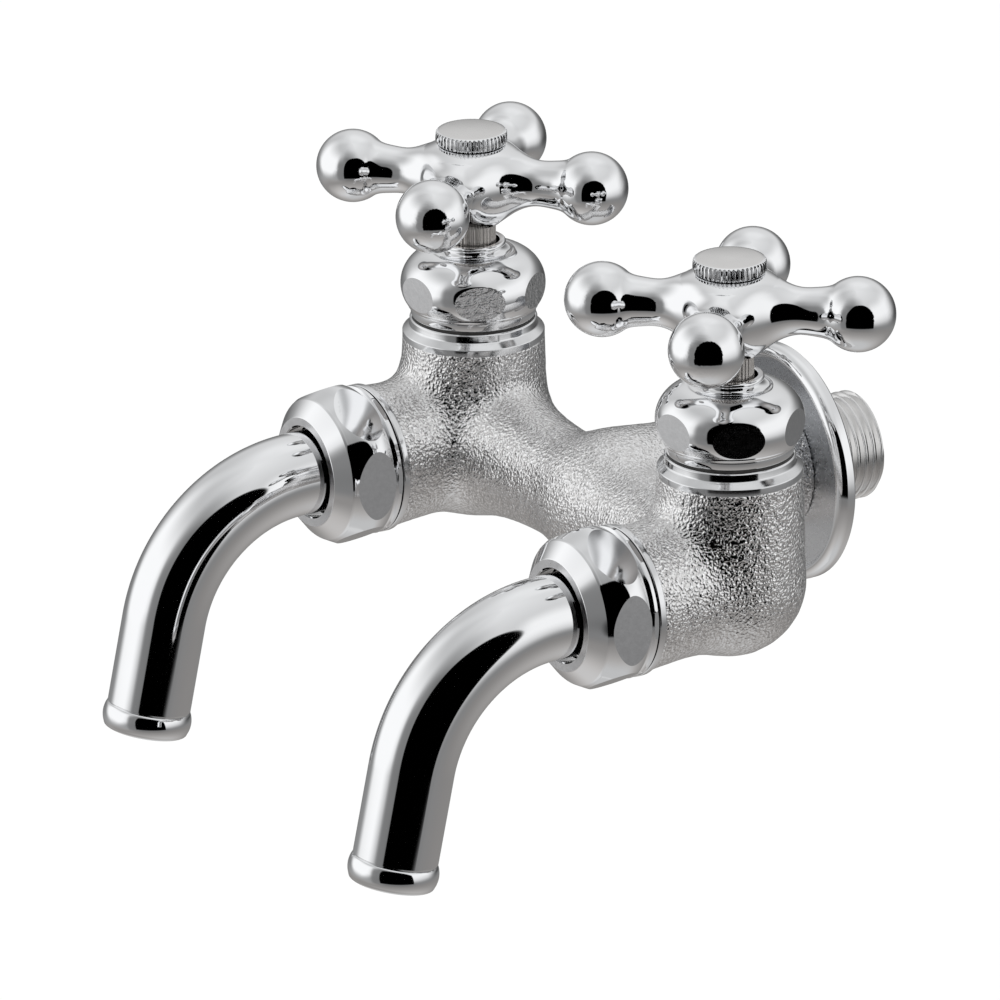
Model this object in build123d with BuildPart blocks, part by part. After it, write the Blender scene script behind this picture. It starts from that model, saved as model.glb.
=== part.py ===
"""Dual outlet outdoor tap: one inlet, two jumper valves side by side, two swivel spouts.

Frame: origin on the inlet axis in the plane of the wall, +X to the right seen
from the front, +Y into the wall, +Z up. Millimetres.
Threads are plain cylinders at their major diameter.
"""
from build123d import *
import os
from math import sin, cos, radians, pi

os.makedirs("parts", exist_ok=True)

# ---------------------------------------------------------------- driving sizes
SPACING = 90.0            # between the two valve axes
Y_VALVE = -43.0           # valve axes, in front of the wall
SIDES = (("left", -SPACING / 2), ("right", SPACING / 2))

# inlet
THREAD_R = 20.955 / 2     # G1/2 major radius
THREAD_END = 15.6         # how far the inlet reaches past the wall plane
LEG_R = 12.4              # inlet leg
LEG_Z = 0.0
INLET_BORE_R = 6.5
CROSS_R = 10.45           # crossbar
CROSS_BORE_R = 4.7
CROSS_BORE_Z = -4.6

# valve chamber, heights above the inlet axis
CHAMBER_R = 14.15         # foot of the chamber, a hemisphere
CHAMBER_Z = -1.0          # centre of that hemisphere
RIM_R = 13.65
RIM_Z = 21.9              # foot of the machined shoulder
COLLAR_R = 12.3
COLLAR_Z = 24.5
NECK_R = 10.4             # outside thread for the cover nut
NECK_Z = 31.0
SPINDLE_THREAD_R = 6.0
PITCH = 3.0               # spindle lead per turn
CHAMBER_BORE_R = 9.5
CHAMBER_FLOOR = 2.2
CHAMBER_ROOF = 15.6
SEAT_R = 5.4
SEAT_Z = 3.0
PORT_R = 4.0

# outlet boss, distances in front of the valve axis
BOSS_RING_R = 14.4
BOSS_RING = (23.3, 24.7)
NIPPLE_R = 12.9
NIPPLE_END = 33.0
OUTLET_BORE_R = 7.5

# spout
PIPE_R = 8.0
PIPE_BORE_R = 7.0
BEND_START = 40.8
BEND_R = 30.0
BEND_DEG = 77.5
TAIL = 17.0               # straight run from the bend to the end bead
BEAD = 4.8                # height of the end bead
BEAD_R = 8.55

# cover nut
BULB_R = 13.95
BULB_Z = 31.1
BULB_ARC = 6.7
BULB_FLATS = 26.0         # across flats
BULB_TURN = -26.0         # direction of the first flat
LIP_R = 6.4
LIP_Z = 39.9

# spout nut, distances in front of the valve axis
NUT_FACE = 38.0
NUT_FACE_R = 10.7
NUT_BULB_R = 15.6
NUT_FLAT = 30.6           # centre of the flats
NUT_FLATS = 28.1          # across flats
NUT_BACK = 25.1

# handle
ARM_Z = 52.4              # height of the arms
ARM_REACH = 24.0          # ball centres
BALL_R = 7.05
BALL_FROM = 128.0         # where the ball's arc meets the waist, from its outer pole
NECK_ARM_R = 4.42
HUB_FOOT = 43.6
HUB_TOP = 59.15
TURNS = {"left": 40.1, "right": 46.5}   # direction of the first arm
RAISE = {"left": 0.0, "right": 0.6}     # how much higher a handle sits on its splines
CAP_R = 6.9
CAP_TOP = 62.3
CAP_RIBS = 48

# wall flange
FLANGE_R = 23.2
FLANGE_T = 3.6


def upright(x):
    """Plane through a valve axis: local u away from it, local v upwards."""
    return Plane(origin=(x, Y_VALVE, 0), x_dir=(1, 0, 0), z_dir=(0, -1, 0))


def forward(x, y=Y_VALVE):
    """Plane through an outlet axis: local u towards the front, local v upwards."""
    return Plane(origin=(x, y, 0), x_dir=(0, -1, 0), z_dir=(-1, 0, 0))


def valve_axis(x):
    return Axis((x, Y_VALVE, 0), (0, 0, 1))


def outlet_axis(x):
    return Axis((x, Y_VALVE, 0), (0, -1, 0))


def save(piece, name):
    piece.part.label = name
    export_step(piece.part, f"parts/{name}.step")


# ------------------------------------------------------------------ body casting
# Two valve chambers, a crossbar between them and one inlet leg to the wall.
with BuildPart() as body_casting:
    for _, x in SIDES:
        # chamber: round foot, slight draft, machined shoulder, threaded neck
        with BuildSketch(upright(x)):
            with BuildLine():
                l1 = ThreePointArc(
                    (0, CHAMBER_Z - CHAMBER_R),
                    (CHAMBER_R * sin(pi / 4), CHAMBER_Z - CHAMBER_R * cos(pi / 4)),
                    (CHAMBER_R, CHAMBER_Z),
                )
                Polyline(
                    l1 @ 1,
                    (RIM_R, RIM_Z - 1.2),
                    (RIM_R, RIM_Z),
                    (COLLAR_R + 0.1, RIM_Z + 0.8),
                    (COLLAR_R, RIM_Z + 0.9),
                    (COLLAR_R, COLLAR_Z - 0.3),
                    (COLLAR_R - 0.3, COLLAR_Z),
                    (NECK_R, COLLAR_Z),
                    (NECK_R, NECK_Z - 0.4),
                    (NECK_R - 0.4, NECK_Z),
                    (0, NECK_Z),
                    l1 @ 0,
                )
            make_face()
        revolve(axis=valve_axis(x))
        # outlet boss with a polished ring and the nipple for the spout nut
        with BuildSketch(forward(x)):
            with BuildLine():
                Polyline(
                    (0, 0),
                    (0, 12.6),
                    (10, 13.0),
                    (16, 13.3),
                    (BOSS_RING[0], 14.1),
                    (BOSS_RING[0], BOSS_RING_R - 0.15),
                    (BOSS_RING[0] + 0.15, BOSS_RING_R),
                    (BOSS_RING[1] - 0.15, BOSS_RING_R),
                    (BOSS_RING[1], BOSS_RING_R - 0.15),
                    (BOSS_RING[1], NIPPLE_R),
                    (NIPPLE_END - 0.5, NIPPLE_R),
                    (NIPPLE_END, NIPPLE_R - 0.5),
                    (NIPPLE_END, 0),
                    (0, 0),
                )
            make_face()
        revolve(axis=outlet_axis(x))
    # crossbar, flared where it runs into each chamber
    with BuildSketch(Plane(origin=(0, Y_VALVE, LEG_Z), x_dir=(1, 0, 0), z_dir=(0, -1, 0))):
        with BuildLine():
            top = Spline(
                (-SPACING / 2, 13.9), (-38, 13.7), (-32.5, 12.7), (-28.6, 11.9), (-24.3, CROSS_R + 0.8), (-17, CROSS_R + 0.2),
                (0, CROSS_R), (17, CROSS_R + 0.2), (24.3, CROSS_R + 0.8), (28.6, 11.9), (32.5, 12.7), (38, 13.7), (SPACING / 2, 13.9),
            )
            Polyline(top @ 0, (-SPACING / 2, 0), (SPACING / 2, 0), top @ 1)
        make_face()
    revolve(axis=Axis((0, Y_VALVE, LEG_Z), (1, 0, 0)))
    # inlet leg, with a round nose that runs out in the front of the crossbar
    with BuildSketch(forward(0, 0)):
        with BuildLine():
            leg = Spline(
                (-Y_VALVE + CROSS_R, 0), (-Y_VALVE + 9.0, 6.4), (-Y_VALVE + 5.6, 10.6), (-Y_VALVE, LEG_R + 0.8),
                (-Y_VALVE - 13, LEG_R + 0.4), (-Y_VALVE - 22, LEG_R + 0.1), (2.4, LEG_R),
                tangents=[(0, 1), (-1, 0)],
            )
            Polyline(
                leg @ 1, (2.4, 9.6), (0.2, 9.6), (0.2, THREAD_R), (-THREAD_END + 0.7, THREAD_R),
                (-THREAD_END, THREAD_R - 0.7), (-THREAD_END, 0), leg @ 0,
            )
        make_face()
    revolve(axis=Axis((0, 0, LEG_Z), (0, -1, 0)))

    # waterways: inlet bore, cross bore under both seats
    with BuildSketch(Plane(origin=(0, THREAD_END, 0), x_dir=(1, 0, 0), z_dir=(0, -1, 0))):
        Circle(INLET_BORE_R)
    extrude(amount=THREAD_END - Y_VALVE, mode=Mode.SUBTRACT)
    with BuildSketch(Plane(origin=(-SPACING / 2, Y_VALVE, CROSS_BORE_Z), x_dir=(0, 1, 0), z_dir=(1, 0, 0))):
        Circle(CROSS_BORE_R)
    extrude(amount=SPACING, mode=Mode.SUBTRACT)
    for _, x in SIDES:
        # pocket below the seat, port, seat lip, chamber and threaded neck bore
        with BuildSketch(upright(x)):
            with BuildLine():
                Polyline(
                    (0, -9.5), (6.5, -9.5), (8, -8), (8, 0.2), (PORT_R, 0.2), (PORT_R, SEAT_Z),
                    (SEAT_R - 0.4, SEAT_Z), (SEAT_R, SEAT_Z - 0.4), (SEAT_R, CHAMBER_FLOOR),
                    (CHAMBER_BORE_R, CHAMBER_FLOOR), (CHAMBER_BORE_R, CHAMBER_ROOF),
                    (SPINDLE_THREAD_R + 0.05, CHAMBER_ROOF + 0.6),
                    (SPINDLE_THREAD_R + 0.05, NECK_Z), (0, NECK_Z), (0, -9.5),
                )
            make_face()
        revolve(axis=valve_axis(x), mode=Mode.SUBTRACT)
        # passage from the chamber over the pocket wall into the outlet bore
        with BuildSketch(Plane(origin=(x, Y_VALVE, 6.2), x_dir=(1, 0, 0), z_dir=(0, -1, 0))):
            Circle(3.4)
        extrude(amount=16, mode=Mode.SUBTRACT)
        # outlet bore, spigot bore for the spout and packing counterbore
        with BuildSketch(forward(x)):
            with BuildLine():
                Polyline(
                    (12, 0), (12, OUTLET_BORE_R), (25.5, OUTLET_BORE_R), (25.5, PIPE_R + 0.06),
                    (28.5, PIPE_R + 0.06), (28.5, 10.8), (NIPPLE_END, 10.8), (NIPPLE_END, 0), (12, 0),
                )
            make_face()
        revolve(axis=outlet_axis(x), mode=Mode.SUBTRACT)
save(body_casting, "body_casting")

# -------------------------------------------------------------------- wall flange
# Turned disc with a rounded raised rim, trapped between the leg and the wall.
with BuildPart() as wall_flange:
    with BuildSketch(forward(0, 0)):
        with BuildLine():
            rim = ThreePointArc((FLANGE_T, 21.6), (FLANGE_T - 0.9, 22.9), (1.3, FLANGE_R))
            Polyline(
                rim @ 1, (0.5, FLANGE_R), (0, FLANGE_R - 0.5), (0, 13.2), (1.0, 13.2), (1.0, 10.6),
                (2.4, 10.6), (2.4, 20.4), (FLANGE_T - 0.2, 21.0), rim @ 0,
            )
        make_face()
    revolve(axis=Axis((0, 0, 0), (0, -1, 0)))
save(wall_flange, "wall_flange")

with BuildPart() as flange_gasket:
    with BuildSketch(forward(0, 0)):
        with Locations((0.53, 11.9)):
            Rectangle(0.90, 2.5)
    revolve(axis=Axis((0, 0, 0), (0, -1, 0)))
save(flange_gasket, "flange_gasket")

for side, x in SIDES:
    # ------------------------------------------------------------------ cover nut
    # Round bulb with six flats, two machined rings below and a lipped collar.
    with BuildPart() as cover_nut:
        with BuildSketch(upright(x)):
            with BuildLine():
                arc_r = BULB_R - BULB_ARC
                low, high = radians(-37), radians(84)
                bulb = ThreePointArc(
                    (arc_r + BULB_ARC * cos(low), BULB_Z + BULB_ARC * sin(low)),
                    (BULB_R, BULB_Z),
                    (arc_r + BULB_ARC * cos(high), BULB_Z + BULB_ARC * sin(high)),
                )
                cove = ThreePointArc(bulb @ 1, (6.1, 38.2), (5.8, 38.95))
                lip = ThreePointArc((LIP_R - 0.25, LIP_Z - 0.95), (LIP_R, LIP_Z - 0.5), (LIP_R - 0.3, LIP_Z))
                Line(cove @ 1, lip @ 0)
                foot = ThreePointArc((12.05, 26.55), (12.5, 26.75), bulb @ 0)
                Polyline(
                    lip @ 1, (5.2, LIP_Z), (5.2, 36.2), (8.0, 33.6), (8.0, NECK_Z + 0.1),
                    (NECK_R + 0.05, NECK_Z + 0.1), (NECK_R + 0.05, COLLAR_Z + 0.8),
                    (11.8, COLLAR_Z + 0.5), (11.95, COLLAR_Z + 0.65), (12.05, COLLAR_Z + 0.8), foot @ 0,
                )
            make_face()
        revolve(axis=valve_axis(x))
        with BuildSketch(Plane(origin=(x, Y_VALVE, 20), x_dir=(cos(radians(BULB_TURN)), sin(radians(BULB_TURN)), 0), z_dir=(0, 0, 1))):
            RegularPolygon(radius=BULB_FLATS / 2, side_count=6, major_radius=False, rotation=30)
        extrude(amount=24, mode=Mode.INTERSECT)
    save(cover_nut, f"{side}_cover_nut")

    with BuildPart() as cover_gasket:
        with BuildSketch(upright(x)):
            with Locations((11.1, COLLAR_Z + 0.25)):
                Rectangle(1.3, 0.48)
        revolve(axis=valve_axis(x))
    save(cover_gasket, f"{side}_cover_gasket")

    # --------------------------------------------------------- packing and washer
    with BuildPart() as packing_washer:
        with BuildSketch(upright(x)):
            with Locations((6.35, 31.55)):
                Rectangle(3.1, 1.0)
        revolve(axis=valve_axis(x))
    save(packing_washer, f"{side}_packing_washer")

    with BuildPart() as gland_packing:
        with BuildSketch(upright(x)):
            with BuildLine():
                Polyline((4.55, 32.1), (7.9, 32.1), (7.9, 33.5), (5.5, 35.85), (4.55, 35.85), (4.55, 32.1))
            make_face()
        revolve(axis=valve_axis(x))
    save(gland_packing, f"{side}_gland_packing")

    # -------------------------------------------------------------------- spindle
    # Screw below, smooth through the packing, splined where the handle sits.
    with BuildPart() as spindle:
        with BuildSketch(upright(x)):
            with BuildLine():
                Polyline(
                    (0, 20.5), (2.5, 20.5), (2.5, 7.1), (5.0, 7.1), (5.0, 16.0), (SPINDLE_THREAD_R, 16.6),
                    (SPINDLE_THREAD_R, 25.6), (4.5, 26.2), (4.5, 57.2), (4.0, 57.7), (2.5, 57.7), (2.5, 46.5),
                    (0, 46.5), (0, 20.5),
                )
            make_face()
        revolve(axis=valve_axis(x))
        with BuildSketch(Plane(origin=(x, Y_VALVE, 39.6))):
            with PolarLocations(4.62, 20):
                Rectangle(0.8, 0.55, rotation=0)
        extrude(amount=20, mode=Mode.SUBTRACT)
    save(spindle, f"{side}_spindle")

    # --------------------------------------------------------------------- handle
    # Hub with four waisted arms that end in balls.
    turn = TURNS[side]
    rise = RAISE[side]
    with BuildPart() as handle:
        with BuildSketch(upright(x)):
            with BuildLine():
                hub = Spline(
                    (5.35, HUB_FOOT + rise + 0.5), (6.9, HUB_FOOT + rise + 2.0), (8.7, rise + 48.6), (8.9, ARM_Z + rise),
                    (8.1, rise + 56.3), (7.3, HUB_TOP + rise - 0.3),
                )
                Polyline(hub @ 1, (6.9, HUB_TOP + rise), (0, HUB_TOP + rise), (0, HUB_FOOT + rise), (4.95, HUB_FOOT + rise), hub @ 0)
            make_face()
        revolve(axis=valve_axis(x))
        for k in range(4):
            a = radians(turn + 90 * k)
            out = (cos(a), sin(a), 0)
            with BuildSketch(Plane(origin=(x, Y_VALVE, ARM_Z + rise), x_dir=out, z_dir=(sin(a), -cos(a), 0))):
                with BuildLine():
                    ball = CenterArc(center=(ARM_REACH, 0), radius=BALL_R, start_angle=0, arc_size=BALL_FROM)
                    waist = Spline(
                        (4.0, 5.9), (9.2, 5.2), (13.4, NECK_ARM_R), (16.5, 4.62), ball @ 1,
                        tangents=[(1, -0.05), (sin(radians(BALL_FROM)), -cos(radians(BALL_FROM)))],
                    )
                    Polyline(ball @ 0, (4.0, 0), waist @ 0)
                make_face()
            revolve(axis=Axis((x, Y_VALVE, ARM_Z + rise), out))
        # bore for the splined spindle end and the screw's shank
        with BuildSketch(Plane(origin=(x, Y_VALVE, HUB_FOOT + rise))):
            Circle(4.55)
        extrude(amount=57.8 - HUB_FOOT, mode=Mode.SUBTRACT)
        with BuildSketch(Plane(origin=(x, Y_VALVE, 57.0 + rise))):
            Circle(3.0)
        extrude(amount=3, mode=Mode.SUBTRACT)
    save(handle, f"{side}_handle")

    # ---------------------------------------------------------------- handle screw
    # Knurled crowned head on a threaded shank.
    with BuildPart() as handle_screw:
        with BuildSketch(Plane(origin=(x, Y_VALVE, HUB_TOP + rise + 0.05))):
            with BuildLine():
                pts = []
                for k in range(CAP_RIBS):
                    for da, r in ((-0.30, CAP_R), (0.20, CAP_R), (0.33, CAP_R - 0.45), (0.57, CAP_R - 0.45)):
                        t = 2 * pi * (k + da) / CAP_RIBS
                        pts.append((r * cos(t), r * sin(t)))
                Polyline(*pts, close=True)
            make_face()
        extrude(amount=CAP_TOP - HUB_TOP - 0.05)
        with BuildSketch(upright(x)):
            with BuildLine():
                crown = ThreePointArc((0, CAP_TOP + rise), (3.4, CAP_TOP + rise - 0.09), (CAP_R - 0.6, CAP_TOP + rise - 0.3))
                Polyline(
                    crown @ 1, (CAP_R, CAP_TOP + rise - 0.75), (CAP_R, HUB_TOP + rise + 0.5),
                    (CAP_R - 0.4, HUB_TOP + rise + 0.05), (0, HUB_TOP + rise + 0.05), crown @ 0,
                )
            make_face()
        revolve(axis=valve_axis(x), mode=Mode.INTERSECT)
        with BuildSketch(Plane(origin=(x, Y_VALVE, 48.0))):
            Circle(2.45)
        extrude(amount=HUB_TOP + rise - 47.5)
    save(handle_screw, f"{side}_handle_screw")

    # --------------------------------------------------------------- jumper valve
    # Stem in the spindle's blind bore, disc, stud for the washer and its nut.
    with BuildPart() as jumper_valve:
        with BuildSketch(upright(x)):
            with BuildLine():
                Polyline(
                    (0, 1.0), (1.7, 1.0), (2.0, 1.3), (2.0, 4.65), (5.7, 4.65), (5.7, 5.9), (4.2, 6.3),
                    (4.2, 7.0), (2.4, 7.0), (2.4, 18.6), (2.0, 19.0), (0, 19.0), (0, 1.0),
                )
            make_face()
        revolve(axis=valve_axis(x))
    save(jumper_valve, f"{side}_jumper_valve")

    with BuildPart() as jumper_washer:
        with BuildSketch(upright(x)):
            with Locations((3.8, 3.86)):
                Rectangle(3.5, 1.5)
        revolve(axis=valve_axis(x))
    save(jumper_washer, f"{side}_jumper_washer")

    with BuildPart() as jumper_nut:
        with BuildSketch(Plane(origin=(x, Y_VALVE, 1.35))):
            RegularPolygon(radius=2.75, side_count=6, major_radius=False)
            Circle(2.03, mode=Mode.SUBTRACT)
        extrude(amount=1.7)
    save(jumper_nut, f"{side}_jumper_nut")

    # ------------------------------------------------------------------ spout pipe
    # Straight spigot, bend, straight tail leaning forward, rounded end bead.
    end_y = -BEND_START - BEND_R * sin(radians(BEND_DEG))
    end_z = -BEND_R * (1 - cos(radians(BEND_DEG)))
    down = (0, -cos(radians(BEND_DEG)), -sin(radians(BEND_DEG)))
    tail_run = TAIL + BEAD
    with BuildPart() as spout_pipe:
        with BuildLine() as route:
            spigot = Line((x, Y_VALVE - 26.0, 0), (x, Y_VALVE - BEND_START, 0))
            half = radians(BEND_DEG / 2)
            bend = ThreePointArc(
                spigot @ 1,
                (x, Y_VALVE - BEND_START - BEND_R * sin(half), -BEND_R * (1 - cos(half))),
                (x, Y_VALVE + end_y, end_z),
            )
            tail = Line(bend @ 1, (x, Y_VALVE + end_y + down[1] * tail_run, end_z + down[2] * tail_run))
        with BuildSketch(Plane(origin=spigot @ 0, x_dir=(1, 0, 0), z_dir=(0, -1, 0))):
            Circle(PIPE_R)
            Circle(PIPE_BORE_R, mode=Mode.SUBTRACT)
        sweep(path=route.line)
        # end bead with a fine groove above it
        with BuildSketch(Plane(origin=bend @ 1, x_dir=down, z_dir=(-1, 0, 0))):
            with BuildLine():
                bead = ThreePointArc((TAIL + 0.45, PIPE_R + 0.15), (TAIL + 2.2, BEAD_R), (TAIL + BEAD - 0.5, PIPE_R + 0.1))
                lip_in = ThreePointArc(bead @ 1, (TAIL + BEAD, PIPE_R - 0.5), (TAIL + BEAD - 0.5, PIPE_BORE_R))
                Polyline(lip_in @ 1, (TAIL, PIPE_BORE_R), (TAIL, PIPE_R), bead @ 0)
            make_face()
        revolve(axis=Axis(bend @ 1, down))
        # groove for the snap ring
        with BuildSketch(forward(x)):
            with Locations((34.0, PIPE_R)):
                Rectangle(1.1, 0.8)
        revolve(axis=outlet_axis(x), mode=Mode.SUBTRACT)
        # rounded lip instead of a square pipe end
        with BuildSketch(Plane(origin=bend @ 1, x_dir=down, z_dir=(-1, 0, 0))):
            with BuildLine():
                cut = ThreePointArc((TAIL + BEAD - 0.5, PIPE_R + 0.1), (TAIL + BEAD, PIPE_R - 0.5), (TAIL + BEAD - 0.5, PIPE_BORE_R))
                Polyline(cut @ 1, (TAIL + BEAD + 0.5, PIPE_BORE_R), (TAIL + BEAD + 0.5, PIPE_R + 0.1), cut @ 0)
            make_face()
        revolve(axis=Axis(bend @ 1, down), mode=Mode.SUBTRACT)
    save(spout_pipe, f"{side}_spout_pipe")

    # ------------------------------------------------------------------- snap ring
    with BuildPart() as snap_ring:
        with BuildSketch(Plane(origin=(x, Y_VALVE - 33.55, 0), x_dir=(1, 0, 0), z_dir=(0, -1, 0))):
            Circle(9.5)
            Circle(PIPE_R - 0.38, mode=Mode.SUBTRACT)
            with Locations((0, 9)):
                Rectangle(3.2, 4, mode=Mode.SUBTRACT)
        extrude(amount=0.9)
    save(snap_ring, f"{side}_snap_ring")

    # ------------------------------------------------------- spout packing and ring
    with BuildPart() as spout_packing:
        with BuildSketch(forward(x)):
            with BuildLine():
                Polyline(
                    (28.6, PIPE_R + 0.5), (29.0, PIPE_R + 0.06), (31.6, PIPE_R + 0.06), (31.6, 10.75), (29.0, 10.75),
                    (28.6, 10.2), (28.6, 9.9), (30.0, 9.6), (30.0, 9.1), (28.6, 8.8), (28.6, PIPE_R + 0.5),
                )
            make_face()
        revolve(axis=outlet_axis(x))
    save(spout_packing, f"{side}_spout_packing")

    with BuildPart() as slip_ring:
        with BuildSketch(forward(x)):
            with Locations((32.3, 9.38)):
                Rectangle(1.2, 2.64)
        revolve(axis=outlet_axis(x))
    save(slip_ring, f"{side}_slip_ring")

    # ------------------------------------------------------------------- spout nut
    # Bulb with six flats, conical front with a flat ring round the spout.
    with BuildPart() as spout_nut:
        with BuildSketch(forward(x)):
            with BuildLine():
                front = Spline(
                    (NUT_FACE, NUT_FACE_R), (36.5, 12.9), (34.3, 14.9), (32.0, NUT_BULB_R), (29.5, 15.35), (27.0, 14.6), (26.3, 14.35),
                    tangents=[(-1, 1.0), (-1, -0.35)],
                )
                Polyline(
                    front @ 1, (26.15, 14.1), (26.0, 14.1), (25.85, 14.35), (NUT_BACK, 14.3), (24.95, 14.1),
                    (24.95, 12.95), (33.2, 12.95), (33.6, 11.2), (34.9, 11.2), (34.9, 8.9), (37.7, 8.9), (NUT_FACE, 9.1), front @ 0,
                )
            make_face()
        revolve(axis=outlet_axis(x))
        # the flats are short: they lie only round the middle of the bulb
        with BuildSketch(Plane(origin=(x, Y_VALVE - NUT_FLAT + 6.5, 0), x_dir=(1, 0, 0), z_dir=(0, -1, 0))):
            Circle(20)
            RegularPolygon(radius=NUT_FLATS / 2, side_count=6, major_radius=False, rotation=30, mode=Mode.SUBTRACT)
        extrude(amount=13, mode=Mode.SUBTRACT)
    save(spout_nut, f"{side}_spout_nut")
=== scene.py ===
"""Looks for the dual outlet outdoor tap: fine meshes, materials, studio and camera.

Meshes are worked out in millimetres in the row frame and stored in metres.
"""
import bpy
import numpy as np
from math import sin, cos, tan, pi, radians, degrees, sqrt, atan2, acos
from mathutils import Matrix, Vector


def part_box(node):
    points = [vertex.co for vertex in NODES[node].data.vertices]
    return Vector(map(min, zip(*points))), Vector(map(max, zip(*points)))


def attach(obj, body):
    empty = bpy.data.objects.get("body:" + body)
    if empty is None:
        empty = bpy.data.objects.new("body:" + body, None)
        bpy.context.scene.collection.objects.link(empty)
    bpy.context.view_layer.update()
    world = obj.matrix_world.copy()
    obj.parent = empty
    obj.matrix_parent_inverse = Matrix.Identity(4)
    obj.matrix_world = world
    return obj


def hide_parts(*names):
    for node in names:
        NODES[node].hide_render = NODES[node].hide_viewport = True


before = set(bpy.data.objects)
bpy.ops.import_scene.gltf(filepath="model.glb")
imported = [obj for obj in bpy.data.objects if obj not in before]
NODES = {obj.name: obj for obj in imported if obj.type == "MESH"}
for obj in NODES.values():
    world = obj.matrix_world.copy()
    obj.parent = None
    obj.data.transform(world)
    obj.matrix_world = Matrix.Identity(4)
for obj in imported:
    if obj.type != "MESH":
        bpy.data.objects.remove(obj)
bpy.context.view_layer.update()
SIDES = (("left", -45.0), ("right", 45.0))
YV = -43.0

# =========================================================================== nodes


class Val:
    """A scalar or vector socket that can be written into arithmetic."""

    def __init__(self, tree, sock):
        self.tree, self.sock = tree, sock

    def _m(self, op, a, b=None, c=None):
        n = self.tree.nodes.new("ShaderNodeMath")
        n.operation = op
        for i, x in enumerate((a, b, c)):
            if x is None:
                continue
            if isinstance(x, Val):
                self.tree.links.new(x.sock, n.inputs[i])
            else:
                n.inputs[i].default_value = float(x)
        return Val(self.tree, n.outputs[0])

    def __add__(self, o): return self._m("ADD", self, o)
    def __radd__(self, o): return self._m("ADD", o, self)
    def __sub__(self, o): return self._m("SUBTRACT", self, o)
    def __rsub__(self, o): return self._m("SUBTRACT", o, self)
    def __mul__(self, o): return self._m("MULTIPLY", self, o)
    def __rmul__(self, o): return self._m("MULTIPLY", o, self)
    def __truediv__(self, o): return self._m("DIVIDE", self, o)
    def abs(self): return self._m("ABSOLUTE", self)
    def pow(self, e): return self._m("POWER", self, e)
    def sqrt(self): return self._m("SQRT", self)
    def sin(self): return self._m("SINE", self)
    def max(self, o): return self._m("MAXIMUM", self, o)
    def min(self, o): return self._m("MINIMUM", self, o)
    def atan2(self, o): return self._m("ARCTAN2", self, o)
    def asin(self): return self._m("ARCSINE", self)

    def step(self, lo, hi, a=0.0, b=1.0):
        """Smooth step of this value from a at lo to b at hi."""
        n = self.tree.nodes.new("ShaderNodeMapRange")
        n.interpolation_type = "SMOOTHSTEP"
        self.tree.links.new(self.sock, n.inputs["Value"])
        if hi < lo:
            lo, hi, a, b = hi, lo, b, a
        n.inputs["From Min"].default_value = lo
        n.inputs["From Max"].default_value = hi
        for key, x in (("To Min", a), ("To Max", b)):
            if isinstance(x, Val):
                self.tree.links.new(x.sock, n.inputs[key])
            else:
                n.inputs[key].default_value = x
        return Val(self.tree, n.outputs["Result"])

    def line(self, lo, hi, a=0.0, b=1.0):
        n = self.tree.nodes.new("ShaderNodeMapRange")
        n.interpolation_type = "LINEAR"
        self.tree.links.new(self.sock, n.inputs["Value"])
        n.inputs["From Min"].default_value = lo
        n.inputs["From Max"].default_value = hi
        for key, x in (("To Min", a), ("To Max", b)):
            if isinstance(x, Val):
                self.tree.links.new(x.sock, n.inputs[key])
            else:
                n.inputs[key].default_value = x
        return Val(self.tree, n.outputs["Result"])


def coords(tree, scale=(1, 1, 1), rot=(0, 0, 0), loc=(0, 0, 0)):
    """Object coordinates in metres, scaled."""
    t = tree.nodes.new("ShaderNodeTexCoord")
    m = tree.nodes.new("ShaderNodeMapping")
    m.inputs["Scale"].default_value = scale
    m.inputs["Rotation"].default_value = rot
    m.inputs["Location"].default_value = loc
    tree.links.new(t.outputs["Object"], m.inputs["Vector"])
    return m.outputs["Vector"]


def noise(tree, vec, scale, detail=2.0, rough=0.5, distortion=0.0):
    n = tree.nodes.new("ShaderNodeTexNoise")
    n.inputs["Scale"].default_value = scale
    n.inputs["Detail"].default_value = detail
    n.inputs["Roughness"].default_value = rough
    n.inputs["Distortion"].default_value = distortion
    tree.links.new(vec, n.inputs["Vector"])
    return Val(tree, n.outputs["Fac"])


def voronoi(tree, vec, scale, feature="F1", smooth=None):
    n = tree.nodes.new("ShaderNodeTexVoronoi")
    n.feature = feature
    n.inputs["Scale"].default_value = scale
    if smooth is not None:
        n.inputs["Smoothness"].default_value = smooth
    tree.links.new(vec, n.inputs["Vector"])
    return Val(tree, n.outputs["Distance"])


def separate(tree, vec):
    n = tree.nodes.new("ShaderNodeSeparateXYZ")
    tree.links.new(vec, n.inputs[0])
    return [Val(tree, n.outputs[i]) for i in range(3)]


def mix_color(tree, fac, a, b):
    n = tree.nodes.new("ShaderNodeMix")
    n.data_type = "RGBA"
    n.clamp_factor = True
    if isinstance(fac, Val):
        tree.links.new(fac.sock, n.inputs["Factor"])
    else:
        n.inputs["Factor"].default_value = fac
    for i, x in ((6, a), (7, b)):
        if isinstance(x, (tuple, list)):
            n.inputs[i].default_value = (*x[:3], 1.0)
        else:
            tree.links.new(x, n.inputs[i])
    return n.outputs[2]


def bump(tree, height, strength, distance, normal=None):
    n = tree.nodes.new("ShaderNodeBump")
    n.inputs["Strength"].default_value = strength
    n.inputs["Distance"].default_value = distance
    tree.links.new(height.sock, n.inputs["Height"])
    if normal is not None:
        tree.links.new(normal, n.inputs["Normal"])
    return n.outputs["Normal"]


def material(name, color=(0.8, 0.8, 0.8), metallic=1.0, roughness=0.1):
    m = bpy.data.materials.new(name)
    m.use_nodes = True
    tree = m.node_tree
    bsdf = tree.nodes["Principled BSDF"]
    bsdf.inputs["Base Color"].default_value = (*color, 1.0)
    bsdf.inputs["Metallic"].default_value = metallic
    bsdf.inputs["Roughness"].default_value = roughness
    return m, tree, bsdf


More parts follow.
